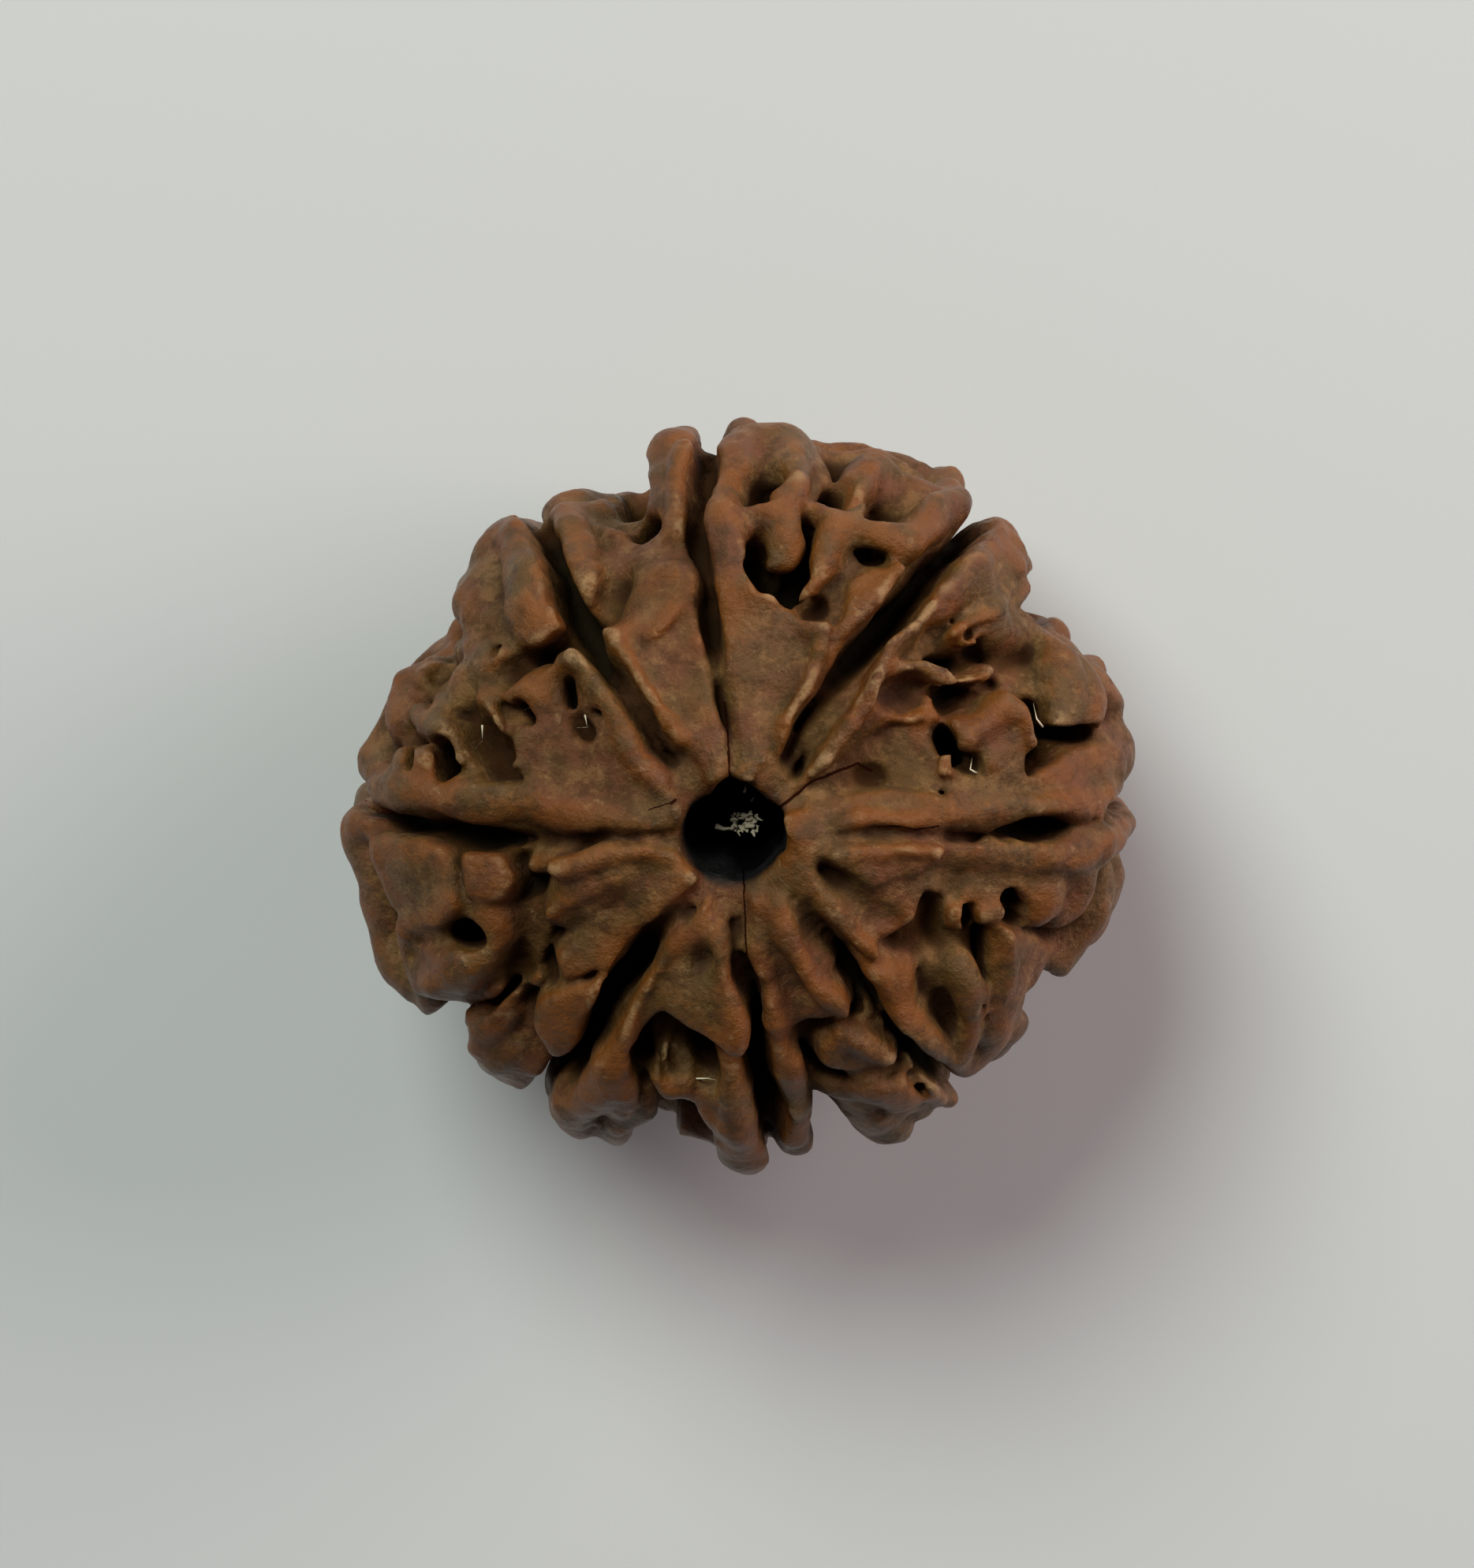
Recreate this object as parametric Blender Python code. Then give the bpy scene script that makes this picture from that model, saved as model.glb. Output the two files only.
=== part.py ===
"""A nine-faced rudraksha bead, grown as one piece: mouth up, resting on the flat round its lower hole.

The bead is shaped as a field of distances in millimetres and then skinned. Places on it are given as
a bearing (degrees round the axis, from +X) and a fall (degrees down from the mouth), and a rise is a
height in millimetres over the smooth envelope that the highest crests touch.
"""
import math
import random

import bpy
import numpy as np

MM = 0.001

# The envelope that the crests touch, and the solid core under it
REACH_X = 13.9
REACH_Y = 13.6
REACH_Z = 10.0
CENTRE_Z = 9.7
BLUNTNESS = 0.9
CORE_DEPTH = 2.0

# The thread hole: the upper mouth's radius by bearing, and how wide the hole is at some heights against it
MOUTH = [
    (0, 1.72), (30, 1.77), (50, 1.66), (73, 1.72), (107, 1.72), (126, 1.5), (147, 1.82), (162, 1.85),
    (191, 1.72), (225, 1.52), (249, 1.3), (265, 1.4), (279, 1.58), (293, 1.58), (315, 1.5), (334, 1.51),
    (342, 1.68), (360, 1.72),
]
HOLE_WIDTHS = [(0, 0.72), (2.5, 0.6), (6, 0.56), (13, 0.78), (16.5, 1.0), (20, 1.0)]

# The grid that the field is worked out on, and the skin taken from it
CELL = 0.42
FACES_KEPT = 11600
FOOT_TOLERANCE = 0.05
SEED = 9

# How far the equator lies inside the envelope, by bearing
WAIST = [
    (0, -0.4), (6, 0.2), (18, 0.0), (24, 0.3), (30, 2.0), (40, 0.4), (47, 0.4), (55, -0.2), (65, 0.7),
    (75, 1.1), (84, 0.4), (90, 0.8), (97, 0.3), (106, 2.6), (118, 2.1), (130, 1.2), (144, 1.6), (150, 2.4),
    (165, 0.9), (178, 0.5), (190, 0.0), (208, 0.0), (216, 0.1), (224, 0.0), (240, 0.5), (250, 0.0),
    (259, 0.4),
    (264, 0.7), (272, 0.0), (284, 1.2), (294, 0.3), (320, 0.2), (330, 0.4), (341, 0.0), (352, -0.2),
    (360, -0.4),
]

# The nine seams, one list of points each: bearing, fall, half width and depth
SEAMS = [
    [(98, 6, 0.05, 0.4), (97, 14, 0.06, 0.8), (97, 21, 0.12, 1.4), (97, 27, 0.24, 2.0), (97, 34, 0.26, 1.8),
     (96.5, 40, 0.16, 0.9), (97, 45, 0.36, 2.4), (96.5, 52, 0.42, 2.5), (95, 60, 0.36, 1.8),
     (94.5, 74, 0.3, 0.7)],
    [(56.5, 12, 0.05, 0.5), (57, 16, 0.1, 1.2), (57.2, 22, 0.16, 2.0), (57, 29, 0.3, 2.8),
     (56.5, 38, 0.42, 3.2),
     (55.5, 47, 0.42, 3.4), (53.5, 55, 0.36, 3.6), (51.5, 64, 0.3, 3.8), (49.5, 76, 0.28, 3.6)],
    [(32, 6, 0.05, 0.4), (32.5, 12, 0.06, 0.5), (29, 16, 0.06, 0.5), (24.5, 19, 0.1, 0.8)],
    [(359.5, 13, 0.04, 0.4), (358, 22, 0.05, 0.8), (357, 30, 0.1, 1.5), (358, 40, 0.24, 2.6),
     (359.5, 52, 0.28, 3.0), (360, 66, 0.26, 2.4)],
    [(311, 9, 0.04, 0.2), (311, 14, 0.05, 0.5), (310.3, 19, 0.08, 1.2), (308.7, 27, 0.24, 2.2),
     (306, 34, 0.38, 2.4), (305.5, 42, 0.36, 2.4), (305.5, 49, 0.36, 2.4), (306.5, 58, 0.38, 2.2)],
    [(278, 6, 0.05, 0.4), (276, 11, 0.06, 0.6), (275.2, 15, 0.09, 1.1), (275, 20, 0.18, 1.8),
     (275, 26, 0.3, 2.6), (275, 34, 0.36, 3.0), (276, 42, 0.36, 3.0), (276.5, 50, 0.32, 2.6),
     (276.5, 60, 0.25, 1.2), (276.5, 74, 0.2, 0.4)],
    [(238.5, 11, 0.06, 0.6), (237, 15, 0.16, 1.6), (235, 20, 0.32, 2.4), (234.5, 26, 0.42, 3.2),
     (235.5, 33, 0.46, 3.2), (237.5, 42, 0.42, 3.2), (238, 50, 0.36, 3.4), (237, 60, 0.36, 3.6),
     (236.5, 74, 0.32, 3.4)],
    [(181, 14, 0.04, 0.4), (182, 22, 0.06, 1.0), (182.5, 29, 0.14, 1.8), (182, 36, 0.24, 2.6),
     (181, 43, 0.26, 2.8), (180, 50, 0.26, 2.8), (178.5, 62, 0.22, 2.4)],
    [(128, 9, 0.04, 0.3), (128, 18, 0.06, 0.7), (127, 27, 0.12, 1.2), (127.5, 34, 0.36, 2.0),
     (126, 42, 0.4, 2.4), (124.5, 52, 0.34, 2.2), (125.5, 64, 0.28, 1.2), (126.5, 76, 0.22, 0.4)],
]

# The soft valleys in which the seams start at the mouth, measured in the same way
VALLEYS = [
    [(98, 8, 0.15, 0.1), (97.5, 13, 0.3, 0.4), (97, 19, 0.38, 0.9), (97, 27, 0.42, 1.3),
     (97, 34, 0.4, 1.2)],
    [(56, 11.5, 0.35, 0.3), (55.5, 15, 0.6, 0.9), (56, 21, 0.65, 1.4), (56.5, 27, 0.7, 1.8),
     (56, 33, 0.65, 2.0)],
    [(359.5, 10, 0.2, 0.1), (359, 16, 0.35, 0.3), (358, 24, 0.4, 0.6), (357, 32, 0.45, 1.2)],
    [(311, 8, 0.15, 0.1), (311, 13, 0.3, 0.3), (310.5, 17, 0.42, 0.7), (309, 22, 0.55, 1.3),
     (307, 29, 0.65, 1.7), (306, 36, 0.55, 1.8)],
    [(277, 8, 0.12, 0.1), (276, 12, 0.24, 0.3), (275, 18, 0.32, 0.8), (275, 26, 0.42, 1.5)],
    [(239, 9, 0.2, 0.1), (237.5, 12, 0.4, 0.5), (235, 18, 0.5, 1.4), (234.5, 26, 0.55, 2.0)],
    [(181, 9, 0.2, 0.1), (181, 15, 0.35, 0.35), (182, 22, 0.4, 0.7), (182, 30, 0.4, 1.3)],
    [(128, 9, 0.15, 0.1), (128, 15, 0.24, 0.25), (127.5, 22, 0.28, 0.4), (127.5, 31, 0.32, 0.8)],
]

# Where the nine seams run down the sides and under the bead, and how deep they are at the equator
LOWER_SEAMS = [(94.5, 0.6), (49, 2.0), (22, 0.7), (360, 1.0), (307, 1.4), (276.5, 0.4), (236.5, 1.8),
               (179, 1.6), (126, 0.4)]

# Deep bays in the outline between lobes: bearing, half width and depth
BAYS = [(33, 0.7, 0.9), (108.5, 0.9, 0.8), (149.5, 0.75, 1.2), (219, 0.8, 0.9), (258, 0.9, -0.3),
        (285, 0.9, 1.2), (327, 0.8, 1.1)]

# Each face is worked in order. A plate is a flat with a free edge: a rise, a rounding, then its corners.
# A ridge is a wall with a round crest: a half width, then its points as bearing, fall and rise.
# A finger is a ridge that hangs free. A pit is a round hole: half width, depth, then one or two places.
FACE_1 = [
    ("plate", -0.4, 0.4, [(36, 6), (34, 33), (11, 34), (13, 14), (22, 6)]),
    ("plate", -0.1, 0.3, [(26, 6), (28, 17), (18.5, 21), (17, 29), (11, 28.5), (4, 25.5), (4, 6)]),
    ("plate", -0.05, 0.3, [(27, 34), (24, 46), (14, 46), (11, 36), (16, 29)]),
    ("plate", -0.05, 0.3, [(11, 30), (12, 50), (3, 52), (2.5, 29)]),
    ("plate", -0.2, 0.4, [(13, 38), (22, 40), (21, 50), (14, 53), (10, 54), (9, 45)]),
    ("ridge", 0.3, [(9.5, 13, 0.0), (6.5, 19, 0.05), (4.5, 24, 0.1)]),
    ("ridge", 0.6, [(4, 27, -0.1), (3.2, 34, 0.0), (3.4, 42, 0.1), (2.8, 50, 0.2), (2.4, 60, 0.2),
                    (2.5, 72, 0.1)]),
    ("plate", -0.4, 0.5, [(13, 46), (24, 46), (29, 51), (26, 61), (16, 60), (12, 52)]),
    ("plate", -0.8, 0.5, [(35, 50), (28, 46), (24, 50), (20, 60), (26, 63), (32, 57)]),
    ("ridge", 0.8, [(36, 52, -0.2), (33, 54, 0.0), (30, 58, 0.15), (26, 61.5, 0.2), (22.5, 62, 0.2),
                    (18.5, 60, 0.15), (15.5, 55, 0.0)]),
    ("ridge", 0.5, [(22.5, 33, 0.0), (21.5, 39, 0.1), (23, 44, 0.2), (21, 48, 0.15), (15.5, 48.5, 0.2)]),
    ("ridge", 0.7, [(29, 64, -0.5), (23.5, 69, -0.1), (20, 70, 0.0), (16.5, 68, 0.1), (14.5, 64, 0.1)]),
    ("ridge", 1.1, [(26, 76, -0.4), (19, 80, 0.0), (14.5, 82, 0.0)]),
    ("ridge", 1.15, [(7, 48, -0.1), (6.6, 62, 0.2), (6.2, 75, 0.3), (5.6, 88, 0.2)]),
    ("pit", 0.32, 2.6, [(11.5, 50.5), (13.2, 58), (12, 67)]),
    ("pit", 0.44, 4.0, [(30.2, 31.2), (27.4, 31.6)]),
    ("pit", 0.28, 3.0, [(16, 34.3), (13.4, 37)]),
    ("pit", 0.45, 3.0, [(22.3, 53.3), (19.5, 52.5)]),
    ("pit", 0.25, 2.0, [(19.5, 52), (16.5, 51)]),
    ("pit", 0.22, 1.0, [(24, 19), (21.5, 20.5)]),
]
FACE_2 = [
    ("plate", -0.25, 0.35, [(52, 6), (47, 22), (48, 30), (40, 33.5), (34, 33), (33, 12), (37, 6)]),
    ("plate", -1.2, 0.5, [(50, 28), (51, 46), (42, 50), (34, 42), (36, 34), (43, 32)]),
    ("ridge", 0.26, [(40, 13, -0.15), (43, 19, 0.0), (46, 25, 0.1), (48, 29.5, 0.2)]),
    ("ridge", 0.24, [(48, 29.5, 0.15), (44, 30.2, 0.1), (41.5, 28.5, 0.1)]),
    ("ridge", 0.24, [(41.5, 27.5, 0.1), (38, 27.3, 0.05), (34.5, 28.3, 0.05), (33, 30.5, 0.1)]),
    ("ridge", 0.5, [(50.3, 30, 0.0), (50.3, 35, 0.1), (50.3, 40, 0.15), (49.6, 46, 0.2)]),
    ("ridge", 0.9, [(48.8, 47, 0.0), (48, 52, 0.2), (48, 58, 0.3), (47.3, 65, 0.3), (46.3, 76, 0.3)]),
    ("ridge", 0.9, [(44, 52, -0.4), (44.5, 60, -0.1), (43.3, 68, 0.2), (42.5, 78, 0.1)]),
    ("ridge", 0.35, [(41.5, 45, -0.3), (41.2, 51, -0.2), (40.6, 57, -0.1), (39.6, 63, -0.2)]),
    ("ridge", 0.35, [(38.5, 50, -0.5), (37.5, 56, -0.4), (37.8, 62, -0.3), (38.3, 67, -0.3)]),
    ("ridge", 0.7, [(35, 58, -1.0), (30, 64, -0.8), (27, 70, -0.5)]),
    ("ridge", 0.36, [(46, 30, -0.1), (43.3, 34, 0.05), (39.5, 36.3, 0.1), (36, 38.5, 0.1), (33.5, 42, 0.1),
                     (30.5, 46, 0.05)]),
    ("ridge", 0.3, [(37, 39, 0.0), (38.5, 43, -0.1), (37.5, 48, -0.2)]),
    ("scoop", 0.65, 1.3, [(38.5, 29.5), (36.5, 32)]),
    ("pit", 0.38, 2.4, [(35.5, 43.5), (33, 47)]),
    ("pit", 0.15, 0.9, [(45, 31)]),
]
FACE_3 = [
    ("plate", -0.15, 0.4, [(95, 6), (92.5, 36), (80, 35.5), (68, 31), (66, 14), (78, 6)]),
    ("plate", -0.45, 0.4, [(72, 6), (67, 32), (62, 33), (60, 16), (62, 6)]),
    ("plate", -0.6, 0.4, [(74, 36), (71.5, 47), (62, 46), (60, 38), (65, 32)]),
    ("ridge", 0.26, [(63, 12, -0.25), (66.5, 16.5, 0.0), (64.5, 20.5, 0.05), (64.5, 25, 0.1),
                     (66.5, 31.5, 0.2)]),
    ("ridge", 0.26, [(66.2, 32.5, 0.1), (69, 31.5, 0.0), (72, 31, -0.2)]),
    ("ridge", 0.35, [(62, 24, -0.6), (62, 31, -0.3), (62, 36, 0.0), (60, 41, 0.1),
                    (58.3, 46.5, 0.15)]),
    ("ridge", 0.65, [(91, 37, -0.05), (90.8, 42, 0.05), (92, 47, 0.15), (92.5, 51, 0.25), (91.5, 56, 0.2)]),
    ("ridge", 0.95, [(90, 55, 0.1), (90, 62, 0.15), (88.5, 70, 0.15), (85.2, 73, 0.15), (82.5, 70, 0.1),
                     (81.7, 63, 0.05), (82, 56, 0.1), (83.5, 51, 0.1)]),
    ("plate", -0.7, 0.6, [(91, 50), (90, 68), (84, 71), (81.5, 60), (83, 50)]),
    ("ridge", 0.6, [(87.5, 36.5, -0.1), (82, 35.2, -0.15), (76.5, 34.6, -0.2), (73, 38, 0.0),
                    (71.8, 43, 0.1),
                    (71, 47.5, 0.2), (68.5, 50.5, 0.25), (64, 51.8, 0.25), (60.5, 53, 0.2)]),
    ("ridge", 0.7, [(60, 53, 0.15), (57.7, 56, 0.15), (57.2, 61, 0.1), (56.5, 67, 0.1), (55.3, 76, 0.1)]),
    ("ridge", 0.4, [(68.5, 52, 0.1), (67.4, 55, 0.25), (66.5, 58.5, 0.45)]),
    ("ridge", 0.5, [(77, 50, -0.2), (74, 51.5, 0.1), (71, 50.5, 0.15)]),
    ("ridge", 0.6, [(71.3, 54.5, -0.2), (70.3, 61, 0.0), (68.6, 69, 0.1), (67, 76, -0.1)]),
    ("ridge", 0.9, [(64.5, 68, -0.5), (60.5, 71, -0.3), (58.5, 76, -0.2)]),
    ("ridge", 0.75, [(80, 70, -0.4), (78, 62, -0.4), (76.8, 55, -0.6)]),
    ("ridge", 0.8, [(77, 70, -0.8), (73, 72, -0.7), (70, 76, -0.6)]),
    ("ridge", 1.0, [(87.5, 82, -0.2), (84.5, 86, 0.0), (81, 83, -0.2)]),
    ("pit", 0.36, 2.6, [(86.2, 46), (86.2, 41), (84.5, 37.8), (81, 36.8)]),
    ("pit", 0.42, 2.8, [(81, 37), (77.5, 37.3), (76.6, 41), (77, 46), (77.2, 50.5)]),
    ("scoop", 0.6, 0.9, [(85.3, 60), (85.2, 57)]),
    ("pit", 0.25, 1.8, [(86, 55.5), (83.6, 55.7)]),
    ("pit", 0.32, 2.4, [(73, 56), (73.2, 61)]),
    ("pit", 0.36, 2.6, [(64.6, 57), (66, 62)]),
    ("pit", 0.24, 1.8, [(63, 44), (60.6, 47.5)]),
    ("pit", 0.25, 1.2, [(71, 34), (68.5, 34.5)]),
    ("finger", 0.55, [(82.8, 53, 0.0), (82.1, 47, -0.1), (81, 40.3, -0.35)]),
]
FACE_4 = [
    ("plate", 0.05, 0.4, [(98.5, 6), (99.3, 39), (103, 41), (113, 38), (119, 29), (122, 6)]),
    ("plate", 0.0, 0.3, [(108, 6), (107, 30), (116.5, 32), (120.6, 34), (122, 29), (122.5, 20),
                         (124, 6)]),
    ("plate", -0.75, 0.3, [(121, 6), (121, 33), (126, 31), (128.5, 22), (129, 6)]),
    ("ridge", 0.22, [(122.5, 14, 0.0), (121.7, 22, 0.05), (121, 29, 0.1), (120.5, 34, 0.15)]),
    ("plate", -0.6, 0.6, [(98.5, 36), (99, 46), (108, 48), (121.5, 46), (120, 36), (112, 28)]),
    ("plate", -0.45, 0.5, [(122.5, 44), (121.5, 62), (115, 62), (109, 58), (107, 44), (112, 40)]),
    ("ridge", 0.5, [(123, 42, -0.4), (122.8, 48, -0.1), (121.8, 54, 0.0), (121, 62, 0.15)]),
    ("ridge", 0.6, [(120, 65, 0.0), (116, 64, -0.1), (112, 66, 0.0), (109, 60, -0.2), (106, 54, -0.3)]),
    ("ridge", 0.3, [(113, 47, -0.2), (116, 50, -0.2), (117, 55, -0.15)]),
    ("ridge", 0.9, [(103.5, 50, -0.3), (102.5, 58, -0.1), (100, 68, 0.1), (98.7, 76, 0.1)]),
    ("ridge", 0.4, [(103, 47, -0.2), (102, 53, 0.0), (99.8, 60, 0.15), (98, 67, 0.15)]),
    ("pit", 0.38, 1.6, [(109.3, 48.3), (108, 47.5)]),
    ("scoop", 0.5, 0.6, [(110.5, 54), (108, 54.5)]),
    ("scoop", 0.9, 0.75, [(117.5, 39), (113.5, 41.5)]),
]
FACE_5 = [
    ("plate", -0.15, 0.4, [(150, 6), (146, 24), (150, 32), (158, 35), (168, 34), (172, 22), (172, 6)]),
    ("plate", -0.1, 0.35, [(152, 6), (146, 24), (140, 27), (134, 33), (131.8, 30), (133.5, 23), (139, 12)]),
    ("plate", -0.35, 0.4, [(133.5, 35), (132, 28), (141, 22), (150, 30), (143, 37), (138, 37.5)]),
    ("ridge", 0.32, [(144, 12, 0.0), (137.5, 18, 0.05), (134, 24, 0.05), (132.2, 29, 0.1),
                     (133, 34.5, 0.15)]),
    ("plate", -0.9, 0.5, [(141, 35), (143, 46), (150, 50), (158, 52), (166, 46), (166, 36), (152, 32)]),
    ("ridge", 0.65, [(172, 14, -0.1), (173.3, 22, 0.0), (174, 30, 0.05), (174.6, 36, 0.1)]),
    ("ridge", 0.85, [(174.6, 36, 0.1), (175.4, 43, 0.15), (175.6, 50, 0.2), (174.4, 56, 0.2),
                     (172.5, 61, 0.15)]),
    ("ridge", 0.28, [(134.5, 35.5, -0.1), (139, 35.5, -0.1), (143.5, 34, -0.15), (147.5, 32.5, -0.2)]),
    ("ridge", 0.28, [(142, 39.5, 0.0), (145, 37, 0.05), (148.7, 37.2, 0.05), (151.5, 40.5, 0.05)]),
    ("ridge", 0.8, [(147.5, 43, 0.0), (151.5, 46, 0.1), (156, 47.5, 0.0)]),
    ("ridge", 0.36, [(153, 42, 0.0), (157, 40.5, 0.0), (160, 37.5, -0.1)]),
    ("ridge", 0.36, [(158, 52.5, 0.05), (163, 47.5, 0.1), (166.8, 43, 0.1), (167.5, 38, 0.05),
                     (165.5, 33.5, -0.05)]),
    ("ridge", 0.55, [(170.5, 47, 0.0), (171.2, 53, 0.0), (171, 60, 0.1)]),
    ("ridge", 0.5, [(164, 45.5, 0.0), (163.5, 53, 0.0), (162.5, 57, 0.0)]),
    ("ridge", 0.8, [(149.5, 50, -0.2), (151.5, 56, 0.0), (155, 60, 0.0), (159.5, 60, 0.0)]),
    ("ridge", 0.8, [(157, 54, -0.2), (160, 62, 0.0), (164.5, 64, 0.0), (166, 62, 0.0)]),
    ("ridge", 0.9, [(163, 66, -0.3), (168, 70, -0.1), (173.5, 72, 0.1), (175, 66, 0.1)]),
    ("ridge", 0.85, [(134.5, 40.5, -0.2), (133, 46, 0.15), (131.3, 52, 0.25), (130.3, 58, 0.25),
                     (129.8, 64, 0.1)]),
    ("ridge", 0.5, [(131, 41, -0.1), (129.3, 46, 0.1), (128.3, 52, 0.15), (128.7, 59, 0.15)]),
    ("ridge", 0.95, [(139.5, 47, -0.9), (140.8, 54, -0.4), (141.5, 62, -0.1), (142, 70, -0.1)]),
    ("ridge", 0.95, [(137.5, 56, -0.3), (135.8, 64, 0.0), (132.8, 72, 0.0), (129, 78, -0.1)]),
    ("ridge", 0.45, [(143.5, 42, -0.3), (145, 47, -0.2), (147, 51, -0.2)]),
    ("pit", 0.3, 2.0, [(135.8, 32.6), (139, 30.4)]),
    ("pit", 0.34, 1.8, [(134, 38), (139, 38.6), (142.5, 41.5)]),
    ("pit", 0.25, 1.8, [(148.8, 36.5), (151, 33.5)]),
    ("scoop", 0.42, 0.8, [(143.5, 27.5), (144.5, 26)]),
    ("pit", 0.2, 1.4, [(144.7, 25.6)]),
    ("scoop", 0.55, 0.7, [(145.3, 40.5), (147.8, 40.8)]),
    ("pit", 0.32, 1.6, [(145.8, 45.5)]),
    ("scoop", 0.75, 0.8, [(160, 43.5), (163.3, 39.5)]),
    ("pit", 0.4, 2.4, [(165.5, 48.8), (169.4, 46.8)]),
    ("pit", 0.28, 1.9, [(166.5, 56.8), (169.8, 54.6)]),
    ("scoop", 0.35, 0.5, [(153.8, 53.5), (156.3, 55.5)]),
]
FACE_6 = [
    ("plate", 0.0, 0.4, [(189.5, 6), (190.5, 24.5), (196, 25.8), (203, 29.5), (208, 29), (212.5, 26),
                         (214, 6)]),
    ("plate", 0.0, 0.4, [(211, 6), (211, 25), (215, 32), (222, 35), (229, 27), (232.5, 17), (232, 6)]),
    ("ridge", 0.26, [(190, 10, 0.0), (192, 15, 0.1), (192.4, 20, 0.15), (190.3, 25, 0.2)]),
    ("ridge", 0.3, [(203, 14, -0.05), (204, 20, 0.05), (204.5, 28.5, 0.12)]),
    ("scoop", 0.3, 0.5, [(197.5, 28)]),
    ("ridge", 0.35, [(233, 12, 0.0), (231, 19, 0.1), (229, 26, 0.1), (231.5, 33, 0.15)]),
    ("ridge", 0.24, [(184, 21.5, -0.7), (187, 25.5, -0.6), (190, 29, -0.5)]),
    ("plate", 0.2, 0.6, [(231, 30), (223, 33), (222.7, 43), (226.5, 47), (233, 48.5), (237, 42)]),
    ("plate", 0.15, 0.6, [(195, 32), (186.5, 33.5), (185.5, 42), (197.5, 43), (200.5, 37)]),
    ("plate", 0.15, 0.8, [(182.8, 44), (182, 60), (187, 67), (197, 66), (201, 53), (197, 43.5)]),
    ("plate", -1.2, 0.5, [(200, 30), (200, 42), (208, 45), (216, 38), (210, 30)]),
    ("plate", 0.1, 0.6, [(208, 47), (203, 60), (206, 70), (211, 69), (215, 58), (212.5, 50)]),
    ("ridge", 0.6, [(199.5, 58, 0.05), (202.5, 66, 0.15), (206, 68, 0.2), (209.5, 62, 0.25),
                    (209.5, 53, 0.25),
                    (207.6, 47, 0.2), (204.5, 42, 0.05), (200, 39, -0.1)]),
    ("ridge", 0.24, [(213.5, 40, -0.9), (214.5, 44, -0.7), (212, 48, -0.5)]),
    ("ridge", 0.24, [(218, 40, -0.8), (217.5, 46, -0.7), (215.5, 50, -0.6), (215.5, 56, -0.5)]),
    ("ridge", 0.3, [(219, 48, -0.7), (220.5, 55, -0.5), (219.3, 62, -0.5)]),
    ("ridge", 0.9, [(225, 51, -1.1), (227, 58, -0.6), (228.5, 66, -0.1), (229, 76, 0.1)]),
    ("ridge", 0.9, [(231, 54, -1.0), (232.3, 62, -0.4), (233, 72, 0.1), (233, 80, 0.2)]),
    ("ridge", 0.4, [(222, 52, -0.5), (222.5, 60, -0.3), (224.5, 68, -0.2)]),
    ("ridge", 1.0, [(183.5, 68, 0.0), (186, 78, 0.2), (191, 80, 0.1)]),
    ("ridge", 1.1, [(191, 76, 0.0), (197, 80, 0.2), (203, 82, 0.5), (208.5, 77, 0.5)]),
    ("ridge", 0.8, [(211, 70, 0.1), (215, 73, -0.1), (217.5, 70, -0.4)]),
    ("pit", 0.72, 6.0, [(204, 47)]),
    ("pit", 0.35, 1.2, [(204, 49), (202, 55)]),
    ("scoop", 0.7, 1.0, [(213.5, 42), (216.5, 45)]),
    ("pit", 0.22, 2.0, [(218.3, 50.5), (220.2, 57)]),
    ("scoop", 0.35, 0.3, [(211.5, 28)]),
]
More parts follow.
